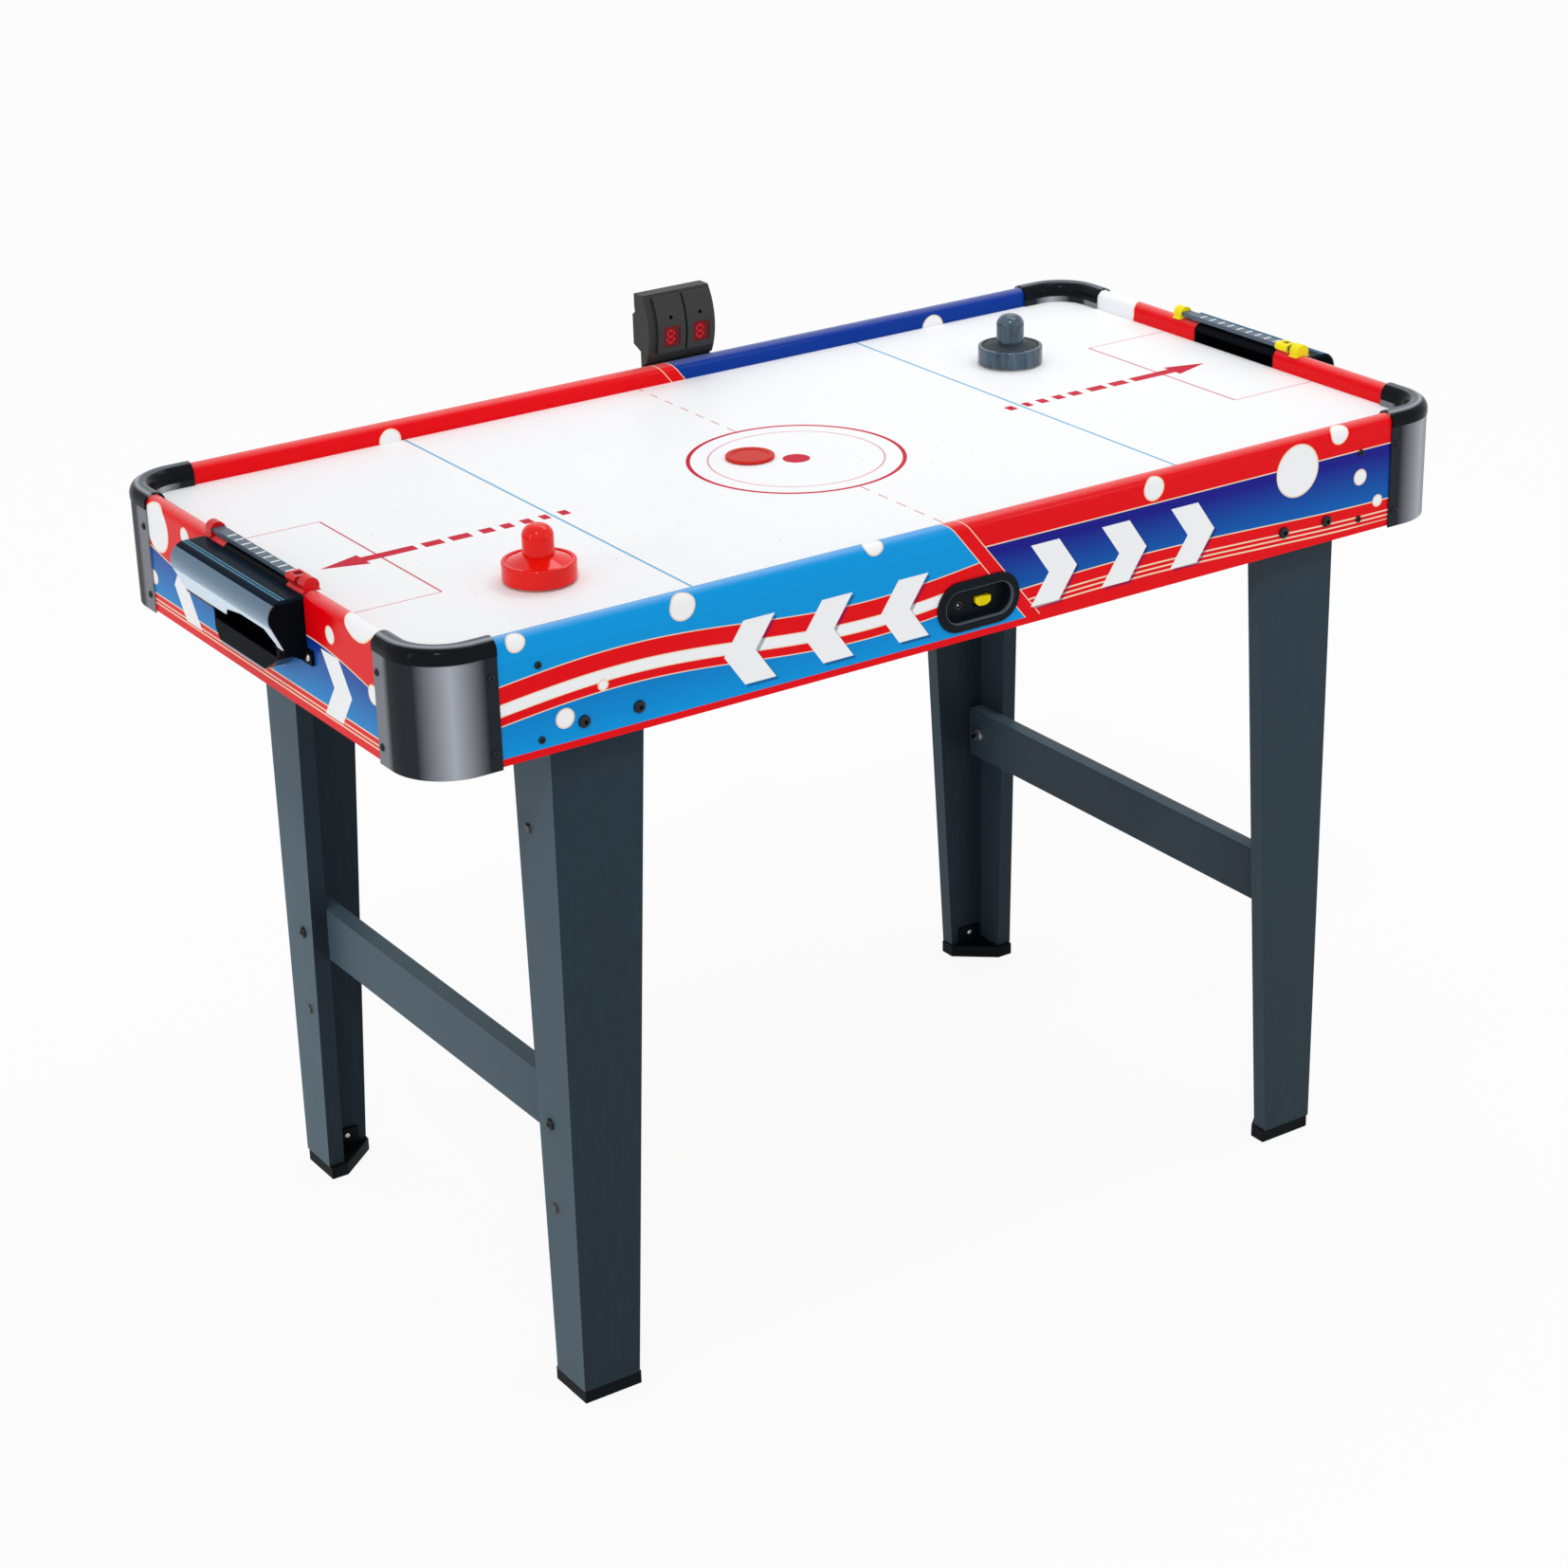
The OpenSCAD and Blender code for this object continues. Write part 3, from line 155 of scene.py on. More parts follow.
class Field:
    """A value over a surface, held as a node socket; arithmetic on it adds Math nodes."""

    def __init__(self, tree, socket):
        self.tree = tree
        self.socket = socket

    def math(self, operation, *values, clamp=False):
        node = self.tree.nodes.new("ShaderNodeMath")
        node.operation = operation
        node.use_clamp = clamp
        for slot, value in zip(node.inputs, (self, *values)):
            if isinstance(value, Field):
                self.tree.links.new(value.socket, slot)
            else:
                slot.default_value = value
        return Field(self.tree, node.outputs[0])

    def __add__(self, other):
        return self.math("ADD", other)

    def __sub__(self, other):
        return self.math("SUBTRACT", other)

    def __rsub__(self, other):
        return self.math("MULTIPLY_ADD", -1.0, other)

    def __mul__(self, other):
        return self.math("MULTIPLY", other)

    def __truediv__(self, other):
        return self.math("DIVIDE", other)

    def __abs__(self):
        return self.math("ABSOLUTE")

    def __and__(self, other):
        return self.math("MULTIPLY", other)

    def __or__(self, other):
        return self.math("MAXIMUM", other)

    def __invert__(self):
        return 1.0 - self

    def above(self, level, edge=PRINT_EDGE):
        """A mask of 1 where the field is over the level, with an edge of this width."""
        return ((self - level) / edge + 0.5).limited()

    def below(self, level, edge=PRINT_EDGE):
        return ~self.above(level, edge)

    def limited(self):
        """The field kept between 0 and 1."""
        return self.math("ADD", 0.0, clamp=True)

    def near(self, level, half, edge=PRINT_EDGE):
        """A mask of 1 within half a width of the level."""
        return abs(self - level).below(half, edge)

    def wave(self, length, height):
        """A wave over the field, of this length and of this height to either side."""
        return (self * (2 * math.pi / length)).math("SINE") * height

    def repeat(self, pitch):
        """The distance from the middle of each repeat of this pitch."""
        return (self + pitch / 2).math("FLOORED_MODULO", pitch) - pitch / 2

    def reach(self, other):
        """The distance from the point where both fields are zero."""
        return (self * self + other * other).math("SQRT")


class Finish:
    """A Principled material in the making, with Object coordinates as fields."""

    def __init__(self, name, **values):
        self.material = bpy.data.materials.new(name)
        self.material.use_nodes = True
        self.tree = self.material.node_tree
        self.shader = self.tree.nodes["Principled BSDF"]
        for socket, value in values.items():
            label = socket.replace("_", " ").title().replace("Ior", "IOR")
            self.shader.inputs[label].default_value = value
        self.place = self.tree.nodes.new("ShaderNodeTexCoord").outputs["Object"]
        split = self.tree.nodes.new("ShaderNodeSeparateXYZ")
        self.tree.links.new(self.place, split.inputs[0])
        self.x, self.y, self.z = (Field(self.tree, socket) for socket in split.outputs)

    def noise(self, size, detail=3.0, stretch=(1, 1, 1)):
        """Noise from 0 to 1 whose blotches are about this size."""
        turn = self.tree.nodes.new("ShaderNodeMapping")
        turn.inputs["Scale"].default_value = stretch
        self.tree.links.new(self.place, turn.inputs["Vector"])
        node = self.tree.nodes.new("ShaderNodeTexNoise")
        node.inputs["Scale"].default_value = 1 / size
        node.inputs["Detail"].default_value = detail
        self.tree.links.new(turn.outputs[0], node.inputs["Vector"])
        return Field(self.tree, node.outputs[0])

    def mix(self, mask, under, over):
        """Colour over another colour where the mask is 1."""
        node = self.tree.nodes.new("ShaderNodeMix")
        node.data_type = "RGBA"
        for index, value in ((0, mask.socket), (6, under), (7, over)):
            if isinstance(value, bpy.types.NodeSocket):
                self.tree.links.new(value, node.inputs[index])
            else:
                node.inputs[index].default_value = (*value, 1)
        return node.outputs[2]

    def layer(self, under, *coats):
        """Lays coats of (mask, colour) over a colour."""
        for mask, colour in coats:
            under = self.mix(mask, under, colour)
        return under

    def paint(self, under, *coats):
        """Lays coats over a colour and gives the result to the shader."""
        self.tree.links.new(self.layer(under, *coats), self.shader.inputs["Base Color"])
        return self

    def rough(self, field):
        self.tree.links.new(field.socket, self.shader.inputs["Roughness"])
        return self

    def bump(self, field, depth):
        node = self.tree.nodes.new("ShaderNodeBump")
        node.inputs["Distance"].default_value = depth
        self.tree.links.new(field.socket, node.inputs["Height"])
        self.tree.links.new(node.outputs[0], self.shader.inputs["Normal"])
        return self


def shade(colour, factor):
    """A colour made darker or lighter by a factor."""
    return tuple(min(1.0, part * factor) for part in colour)


def moulded(name, colour, roughness=0.35, grain=0.9 * MM, depth=0.03 * MM, gloss=0.5):
    """Moulded plastic with slight mottling, uneven gloss and a fine grain."""
    finish = Finish(name, specular_ior_level=gloss)
    cloud = finish.noise(40 * MM)
    fine = finish.noise(grain, 2.0)
    finish.paint(shade(colour, 0.9), (cloud, shade(colour, 1.12)))
    finish.rough(cloud * 0.08 + fine * 0.06 + (roughness - 0.07))
    return finish.bump(fine, depth).material


def metal(name, colour, roughness, stretch):
    """Metal with fine drawn lines along one direction."""
    finish = Finish(name, metallic=1.0)
    lines = finish.noise(1.2 * MM, 4.0, stretch)
    finish.paint(shade(colour, 0.86), (lines, shade(colour, 1.1)))
    finish.rough(lines * 0.12 + (roughness - 0.06))
    return finish.bump(lines, 0.01 * MM).material


def wrap_height(finish, outward, board):
    """Height over the board's lower edge, carried on over its round top and down the inner face."""
    low, high = board
    radius = min(high.x - low.x, high.y - low.y) / 2
    side = 1 if high.y - low.y < high.x - low.x else 0
    middle = max(abs(low[side]), abs(high[side])) - radius
    centre_z = high.z - radius
    rise = finish.z - centre_z
    across = outward - middle
    over = rise.math("ARCTAN2", across) * radius + (centre_z - low.z)
    inside = across.below(0.0, SHARP_EDGE)
    outer = finish.z - low.z
    inner = (2 * centre_z + math.pi * radius - low.z) - finish.z
    flat = outer * ~inside + inner * inside
    top = rise.above(0.0, SHARP_EDGE)
    return flat * ~top + over * top


def chevron(along, height, centre, middle, sizes, way):
    """A mask of one chevron that points along the board."""
    lean = along - centre + abs(height - middle) * (0.7 * way)
    return lean.near(0.0, sizes.chevron_w / 2) & height.near(middle, sizes.chevron_h / 2)


def discs(along, height, places):
    """A mask of round dots, each given as (along, height, radius)."""
    mask = None
    for centre, level, radius in places:
        dot = (along - centre).reach(height - level).below(radius)
        mask = dot if mask is None else mask | dot
    return mask


def dotted(finish, under, along, height, dots, colours):
    """White dots with cream outlines over a colour, each given in mm as (along, height, radius)."""
    outline = 1.6 * MM
    for margin, colour in ((outline, colours.cream), (0, colours.white)):
        places = [(centre * MM, level * MM, radius * MM + margin) for centre, level, radius in dots]
        under = finish.mix(discs(along, height, places), under, colour)
    return under


def print_gloss(finish, under, height, board):
    """Smooth printed foil with slight haze and a soft ripple, glossier over the rail, with a painted
    highlight (a paler band) along the rail's crest.
    """
    low, high = board
    rail_from = 100 * MM
    crest = (high.z - low.z) + min(high.x - low.x, high.y - low.y) * (math.pi / 4 - 0.5)
    # pale: painted highlight, a faint white band along the rail's rounded crest
    pale = height.near(crest, 5 * MM, 9 * MM) * 0.16
    ripple = finish.noise(9 * MM, 2.0)
    haze = finish.noise(70 * MM, 4.0)
    finish.paint(under, (pale, srgb(255, 255, 255)))
    finish.rough(haze * 0.1 + height.below(rail_from, 6 * MM) * 0.08 + 0.12)
    return finish.bump(ripple, 0.02 * MM).material


def long_board_print(name, node, side, colours, sizes, left_top, dots):
    """Print of a long board: blue fields, a waved ribbon, chevrons and dots, carried over the rail."""
    finish = Finish(name, specular_ior_level=0.1)
    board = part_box(node)
    along = finish.x * -side
    height = wrap_height(finish, finish.y * side, board)
    line, hem, middle = 1.2 * MM, 7 * MM, 47 * MM
    split, split_half = 20 * MM, 8 * MM
    left_rail, right_rail = 96 * MM, 88 * MM
    ribbon_level, ground_level = 66 * MM, 34 * MM
    fade = (height / (90 * MM)).limited()
    deep = ((height - ground_level) / (46 * MM)).limited()
    slant = along + (height - 60 * MM) * 0.8
    rightward = slant.above(split)
    over_ribbon = height - (along.wave(520 * MM, 9 * MM) + ribbon_level)
    over_ground = height - (along.wave(700 * MM, 5 * MM) + ground_level)
    sky = finish.mix(fade, colours.sky, shade(colours.sky, 0.96))
    low_blue = finish.mix(fade, colours.sky, colours.royal)
    under = finish.mix(over_ribbon.below(-18 * MM), sky, low_blue)
    for offset, half, colour in ((0, 8, colours.red), (-14, 5, colours.white), (-24, 4, colours.red)):
        band = over_ribbon - offset * MM
        under = finish.layer(under, (band.near(0.0, (half + 1) * MM), colours.cream),
                             (band.near(0.0, half * MM), colour))
    under = finish.layer(under, (rightward, finish.mix(deep, colours.royal, colours.indigo)),
                         (rightward & over_ground.below(line), colours.cream),
                         (rightward & over_ground.below(0.0), colours.red))
    for drop in (22, 17, 12):
        under = finish.mix(rightward & over_ground.near(-drop * MM, 0.8 * MM), under, colours.cream)
    under = finish.layer(under, (rightward & height.above(right_rail), colours.cream),
                         (rightward & height.above(right_rail + line), colours.red),
                         (~rightward & height.above(left_rail), left_top),
                         (slant.near(split, split_half + line), colours.cream),
                         (slant.near(split, split_half), colours.red),
                         (height.below(hem), colours.red))
    shift = 3 * MM
    for way in (-1, 1):
        for step in range(3):
            centre = way * (sizes.chevron_pitch * (step + 1.15))
            shadow = chevron(along - shift, height + shift, centre, middle, sizes, way)
            mark = chevron(along, height, centre, middle, sizes, way)
            under = finish.layer(under, (shadow * 0.55, shade(colours.indigo, 0.4)), (mark, colours.white))
    under = dotted(finish, under, along, height, dots, colours)
    return print_gloss(finish, under, height, board)


def end_board_print(name, node, side, colours, sizes):
    """Print of an end board: red over a waved edge, blue under it, chevrons beside the hood and dots."""
    finish = Finish(name, specular_ior_level=0.1)
    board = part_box(node)
    along = finish.y * side
    height = wrap_height(finish, finish.x * side, board)
    line, hem, edge_level = 1.4 * MM, 20 * MM, 66 * MM
    chevron_place, chevron_level = 168 * MM, 42 * MM
    fade = (height / (80 * MM)).limited()
    over_edge = height - (along.wave(430 * MM, 12 * MM) + edge_level)
    under = finish.layer(finish.mix(fade, colours.sky, colours.indigo),
                         (over_edge.above(-line), colours.cream), (over_edge.above(0.0), colours.red),
                         (height.below(hem), colours.cream), (height.below(hem - line), colours.red))
    for level in (9, 13):
        under = finish.mix(height.near(level * MM, 0.8 * MM), under, colours.cream)
    for way in (-1, 1):
        mark = chevron(along, height, way * chevron_place, chevron_level, sizes, way)
        under = finish.mix(mark, under, colours.white)
    dots = ((-215, 92, 24), (205, 138, 34), (150, 92, 7), (-150, 100, 8), (228, 60, 8), (-232, 36, 6))
    under = dotted(finish, under, along, height, dots, colours)
    return print_gloss(finish, under, height, board)


def rink_finish(colours, sizes):
    """White lacquered play board with the rink's lines, circle, creases and arrows."""
    finish = Finish("rink_board", specular_ior_level=0.05)
    x, y = finish.x, finish.y + sizes.print_shift
    far, wide = abs(x), abs(y)
    half, fine = sizes.line_w / 2, sizes.fine_line_w / 2
    dash_pitch, dash_half, shaft_half = 30 * MM, 8 * MM, 6.5 * MM
    ring = x.reach(y)
    cloud = finish.noise(120 * MM, 5.0)
    scuff = finish.noise(14 * MM, 3.0, (0.25, 1, 1)).above(0.72, 0.2)
    sides = far.above(sizes.crease_depth) & wide.near(sizes.crease_half, fine)
    ends = far.near(sizes.crease_depth, fine * 1.4) & wide.below(sizes.crease_half)
    dashes = y.repeat(dash_pitch).near(0.0, dash_half) & x.near(0.0, fine) & ring.above(sizes.circle_r)
    head = sizes.arrow_tip - far
    arrow = (head * (sizes.arrow_half / sizes.arrow_head) - wide).above(0.0) & head.below(sizes.arrow_head)
    bars = ((433, 490), (404, 425), (374, 396), (349, 363), (328, 340), (307, 318), (288, 297), (266, 276))
    for start, end in bars:
        bar = far.near((start + end) / 2 * MM, (end - start) / 2 * MM) & wide.below(shaft_half)
        arrow = arrow | bar
    red = ends * 0.85 | ring.near(sizes.circle_r, half) | ring.below(sizes.spot_r) | dashes * 0.75 | arrow
    under = finish.mix(cloud, shade(colours.white, 0.985), colours.white)
    finish.paint(under, (scuff * 0.05, shade(colours.white, 0.7)),
                 (sides | ring.near(sizes.inner_circle_r, fine), colours.rink_pink),
                 (far.near(sizes.blue_line, half * 0.7), colours.rink_blue), (red, colours.rink_red))
    finish.rough(cloud * 0.08 + scuff * 0.1 + 0.36)
    return finish.bump(finish.noise(3 * MM, 2.0), 0.01 * MM).material


def cap_finish(colours):
    """Corner cap: satin charcoal skirt with painted pale sheen bands at its bend and its ends, under a black
    top with painted highlight streaks and a painted glint along its crest.
    """
    low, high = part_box("corner_cap_front_left")
    radius, top_h, crest_h = 60 * MM, 16 * MM, 0.8 * MM
    degree = math.radians(1)
    painted_sheen_grey = srgb(178, 182, 190)
    finish = Finish("corner_cap", specular_ior_level=0.06, specular_tint=COOL)
    top = finish.z.above(high.z - top_h, 0.6 * MM)
    # crest: painted highlight, a paler line along the very top of the cap
    crest = finish.z.above(high.z - crest_h, 1 * MM) * 0.6
    grain = finish.noise(0.7 * MM, 2.0)
    bands = finish.noise(30 * MM, 1.0, (1, 1, 0.01))
    past_x = abs(finish.x) + (low.x + radius)
    past_y = abs(finish.y) + (low.y + radius)
    turn = past_y.math("ARCTAN2", past_x)
    # painted sheen: pale upright bands at the bend and at the ends of the skirt, standing in for reflections
    painted_bend_sheen = turn.near(66 * degree, 15 * degree, 34 * degree)
    ends = turn.below(1 * degree, 9 * degree) * 0.45
    away = past_x.math("MAXIMUM", 0.0).reach(past_y.math("MAXIMUM", 0.0))
    # outer and inner: painted highlight streaks running round the top
    outer = away.near(radius - 7 * MM, 1.5 * MM, 3 * MM) * 0.8
    inner = away.near(radius - 15 * MM, 0.6 * MM, 2.5 * MM) * 0.3
    skirt = finish.mix(bands, shade(colours.cap, 0.3), shade(colours.cap, 0.6))
    finish.paint(skirt, (painted_bend_sheen | ends, painted_sheen_grey), (top, shade(colours.cap, 0.15)),
                 (crest, shade(colours.cap, 4.0)), (top & (outer | inner), painted_sheen_grey))
    finish.rough((bands * 0.06 + grain * 0.05 + 0.34) * ~top + (bands * 0.04 + 0.14) * top)
    return finish.bump(grain * ~top, 0.03 * MM).material


def laminate_finish(colours):
    """Charcoal laminate with a faint grain along the leg and slight mottling, with painted shade that
    darkens it towards the floor.
    """
    finish = Finish("leg_laminate", specular_ior_level=0.1, specular_tint=COOL,
                    sheen_weight=0.7, sheen_roughness=0.45, sheen_tint=(0.5, 0.8, 1.0, 1.0))
    grain = finish.noise(2.2 * MM, 4.0, (1, 1, 0.06))
    cloud = finish.noise(60 * MM, 4.0)
    # rise: painted shade, the laminate painted darker towards the floor
    rise = (finish.z / (650 * MM)).limited()
    under = finish.mix(rise, shade(colours.laminate, 0.1), shade(colours.laminate, 0.7))
    finish.paint(under, (cloud * 0.5, shade(colours.laminate, 0.3)),
                 (grain.above(0.6, 0.25) * 0.15, shade(colours.laminate, 1.6)))
    finish.rough(cloud * 0.1 + grain * 0.1 + 0.3)
    return finish.bump(grain, 0.04 * MM).material


def timber_finish(name, light, dark, stretch):
    """Raw board or timber with fibres along one direction."""
    finish = Finish(name, specular_ior_level=0.3)
    fibre = finish.noise(3 * MM, 6.0, stretch)
    fleck = finish.noise(1.1 * MM, 3.0)
    finish.paint(dark, (fibre, light), (fleck.above(0.62, 0.2) * 0.4, shade(dark, 0.7)))
    finish.rough(fibre * 0.15 + 0.65)
    return finish.bump(fibre + fleck * 0.5, 0.15 * MM).material


def felt_finish():
    """Pressed felt with loose fibres."""
    finish = Finish("felt", sheen_weight=0.4, sheen_roughness=0.5)
    fibre = finish.noise(1.4 * MM, 6.0)
    finish.paint(srgb(196, 190, 176), (fibre, srgb(226, 222, 210)))
    finish.rough(fibre * 0.1 + 0.85)
    return finish.bump(fibre, 0.4 * MM).material


def socket_finish(colours):
    """Black barrel socket with a bright pin in its middle."""
    low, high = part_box("power_jack")
    finish = Finish("power_jack")
    radius = (finish.x - (low.x + high.x) / 2).reach(finish.z - (low.z + high.z) / 2)
    pin = radius.below(1.3 * MM, 0.1 * MM)
    grain = finish.noise(0.6 * MM)
    finish.paint(colours.black, (pin, srgb(198, 194, 184)))
    finish.rough(grain * 0.1 + 0.25)
    finish.tree.links.new(pin.socket, finish.shader.inputs["Metallic"])
    return finish.bump(grain, 0.01 * MM).material


def hood_finish(colours):
    """Glossy black hood body with painted highlights on its bead crests, a painted bluish sheen on its top
    and a bright lower edge on the scoop.
    """
    low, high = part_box("hood_body_right")
    crest_h, top_h, hem_h = 0.4 * MM, 4 * MM, 2.2 * MM
    finish = Finish("hood_gloss", specular_ior_level=0.01)
    cloud = finish.noise(40 * MM)
    # crest: painted highlight, bright bluish lines along the bead crests
    crest = finish.z.above(high.z - crest_h, 0.3 * MM)
    # top: painted sheen, a lighter bluish black on the top of the hood
    top = finish.z.above(high.z - top_h, 1 * MM)
    hem = finish.z.below(low.z + hem_h, 0.4 * MM)
    black = finish.mix(cloud, shade(colours.black, 0.8), shade(colours.black, 1.2))
    finish.paint(black, (top, srgb(18, 32, 44)), (crest, srgb(92, 142, 174)), (hem, colours.silver))
    finish.rough(cloud * 0.08 + 0.12)
    return finish.material


def cover_finish(colours):
    """Silver barrel with a painted reflection that darkens it to its top and makes it brightest on its lower
    face, and black on its inner face.
    """
    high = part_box("hood_cover_right")[1]
    radius, sheet, lean = 17 * MM, 2 * MM, math.radians(25)
    axis_drop, fade_h = 13.3 * MM, 20.5 * MM
    finish = Finish("hood_silver", specular_ior_level=0.08, specular_tint=COOL)
    out = abs(finish.x) - (high.x - radius)
    rise = finish.z - (high.z - axis_drop)
    below = (out * math.sin(lean) + rise * math.cos(lean)).below(0.0, SHARP_EDGE)
    reach = (out * math.cos(lean) - rise * math.sin(lean)) * below + out.reach(rise) * ~below
    inside = reach.below(radius - sheet / 2, 0.1 * MM)
    lines = finish.noise(1.2 * MM, 4.0, (1, 0.04, 1))
    # painted reflection: the barrel painted darker towards its top
    painted_reflection_fall = ((high.z - finish.z) / fade_h).limited()
    painted_reflection_arc = finish.mix(painted_reflection_fall * painted_reflection_fall, srgb(92, 114, 134), colours.silver)
    # below: painted reflection, the lower face painted near white
    finish.paint(painted_reflection_arc, (below, srgb(236, 241, 248)), (lines * 0.2, colours.silver), (inside, colours.black))
    finish.tree.links.new((~inside * 0.55).socket, finish.shader.inputs["Metallic"])
    finish.rough(lines * 0.1 + 0.2)
    return finish.bump(lines, 0.01 * MM).material


def cup_finish():
    """Dark switch cup with a painted highlight line round the inner edge of its rim."""
    low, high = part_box("switch_cup")
    centre = (low + high) / 2
    round_r = (high.z - low.z) / 2
    straight = (high.x - low.x) / 2 - round_r
    rim, rim_depth = 9 * MM, 4 * MM
    finish = Finish("switch_cup", specular_ior_level=0.05)
    fine = finish.noise(0.9 * MM, 2.0)
    along = (abs(finish.x - centre.x) - straight).math("MAXIMUM", 0.0)
    ring = along.reach(finish.z - centre.z).near(round_r - rim, 0.7 * MM)
    # edge: painted highlight, a paler line round the inner edge of the rim
    edge = ring & finish.y.below(low.y + rim_depth)
    dark = finish.mix(fine, srgb(18, 25, 31), srgb(24, 31, 37))
    finish.paint(dark, (edge, srgb(92, 100, 108)))
    finish.rough(fine * 0.08 + 0.26)
    return finish.bump(fine, 0.02 * MM).material


def dark_striker_finish():
    """Dark striker: polished steel blue rim and knob painted with upright reflection streaks, and a dull
    black dish between them.
    """
    low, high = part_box("striker_right")
    centre = (low + high) / 2
    knob_r, dish_r, dish_level = 15.2 * MM, 31.4 * MM, 16.5 * MM
    finish = Finish("dark_striker", specular_ior_level=0.7, specular_tint=COOL)
    # cloud: painted reflection, lighter upright streaks on the rim and knob
    cloud = finish.noise(7 * MM, 2.0, (1, 1, 0.12)).above(0.5, 0.5)
    reach = (finish.x - centre.x).reach(finish.y - centre.y)
    ring = reach.above(knob_r, 0.6 * MM) & reach.below(dish_r, 0.6 * MM)
    dish = ring & finish.z.above(low.z + dish_level, 1 * MM)
    steel = finish.mix(cloud, srgb(26, 40, 53), srgb(78, 100, 118))
    finish.paint(steel, (dish, srgb(8, 14, 20)))
    finish.rough(cloud * 0.05 + dish * 0.55 + 0.06)
    return finish.material


def lit_finish():
    """Lit bars of the score unit's numerals, brighter along their middles."""
    finish = Finish("lit_bar", roughness=0.3, specular_ior_level=0.1, emission_strength=0.22)
    glow = finish.noise(3 * MM)
    colour = finish.mix(glow, srgb(178, 12, 28), srgb(206, 22, 38))
    finish.paint(colour)
    finish.tree.links.new(colour, finish.shader.inputs["Emission Color"])
    return finish.material


def dress(nodes, material):
    """Gives CAD nodes one finish."""
    for name in nodes:
        slots = frame["nodes"][name].data.materials
        slots.clear()
        slots.append(material)


def welded(node):
    """A new bmesh of a CAD node with its loose triangles joined."""
    shape = bmesh.new()
    shape.from_mesh(frame["nodes"][node].data)
    bmesh.ops.remove_doubles(shape, verts=shape.verts, dist=WELD)
    return shape


def linked(name, data):
    """A new object with this data, linked to the scene."""
    thing = bpy.data.objects.new(name, data)
    bpy.context.scene.collection.objects.link(thing)
    return thing


def mesh_of(shape, name):
    """A mesh made from a bmesh, which is freed."""
    mesh = bpy.data.meshes.new(name)
    shape.to_mesh(mesh)
    shape.free()
    return mesh


def smooth(mesh):
    """Shades all faces of a mesh smooth."""
    mesh.polygons.foreach_set("use_smooth", [True] * len(mesh.polygons))


def mesh_piece(name, mesh, material, body="table"):
    """Links a finished mesh as a piece that rides on a body."""
    mesh.materials.clear()
    mesh.materials.append(material)
    piece = linked(name, mesh)
    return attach(piece, body)


def evaluated_mesh(obj):
    """The mesh of an object with its modifiers applied; the object itself is removed."""
    graph = bpy.context.evaluated_depsgraph_get()
    mesh = bpy.data.meshes.new_from_object(obj.evaluated_get(graph))
    bpy.data.objects.remove(obj)
    return mesh


def rounded_copy(node, material, width):
    """Stands a copy of a CAD node with rounded edges in its place."""
    shape = welded(node)
    bmesh.ops.dissolve_limit(shape, angle_limit=FLAT_ANGLE, verts=shape.verts, edges=shape.edges)
    mesh = mesh_of(shape, node + "_rounded")
    smooth(mesh)
    draft = linked(node + "_draft", mesh)
    bevel = draft.modifiers.new("round", "BEVEL")
    bevel.width = width
    bevel.segments = 2
    bevel.limit_method = "ANGLE"
    bevel.angle_limit = SMOOTH_ANGLE
    draft.modifiers.new("even", "WEIGHTED_NORMAL")
    final = evaluated_mesh(draft)
    body = frame["nodes"][node]["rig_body"]
    piece = mesh_piece(node + "_rounded", final, material, body)
    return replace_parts(piece, node)


def fasteners(node):
    """Head top, direction, length and head radius of each screw or bolt in a CAD node."""
    shape = welded(node)
    found = []
    left = set(shape.verts)
    while left:
        island, queue = [], [left.pop()]
        while queue:
            vert = queue.pop()
            island.append(vert.co.copy())
            for edge in vert.link_edges:
                other = edge.other_vert(vert)
                if other in left:
                    left.remove(other)
                    queue.append(other)
        found.append(fastener(island))
    shape.free()
    return found


def fastener(points):
    """Head top, direction, length and head radius of one screw or bolt, from its points."""
    low = Vector([min(p[i] for p in points) for i in range(3)])
    high = Vector([max(p[i] for p in points) for i in range(3)])
    size = high - low
    axis = max(range(3), key=lambda i: size[i])
    middle = (low + high) / 2

    def width(level):
        ring = [p for p in points if abs(p[axis] - level) < size[axis] * 0.3]
        return max(math.hypot(*((p - middle)[i] for i in range(3) if i != axis)) for p in ring)

    way = 1 if width(high[axis]) > width(low[axis]) else -1
    direction = Vector([way if i == axis else 0 for i in range(3)])
    top = middle + direction * size[axis] / 2
    return top, direction, size[axis], max(width(high[axis]), width(low[axis]))


def lathe(name, outline, sides):
    """A template turned from (radius, height) points."""
    shape = bmesh.new()
    rings = []
    for radius, height in outline:
        angles = [2 * math.pi * k / sides for k in range(sides)] if radius else [0]
        rings.append([shape.verts.new((radius * math.cos(a), radius * math.sin(a), height)) for a in angles])
    for lower, upper in zip(rings, rings[1:]):
        for k in range(sides):
            corners = [lower[k % len(lower)], lower[(k + 1) % len(lower)],
                       upper[(k + 1) % len(upper)], upper[k % len(upper)]]
            shape.faces.new(list(dict.fromkeys(corners)))
    bmesh.ops.recalc_face_normals(shape, faces=shape.faces)
    mesh = mesh_of(shape, name)
    smooth(mesh)
    mesh.set_sharp_from_angle(angle=SMOOTH_ANGLE)
    return linked(name, mesh)


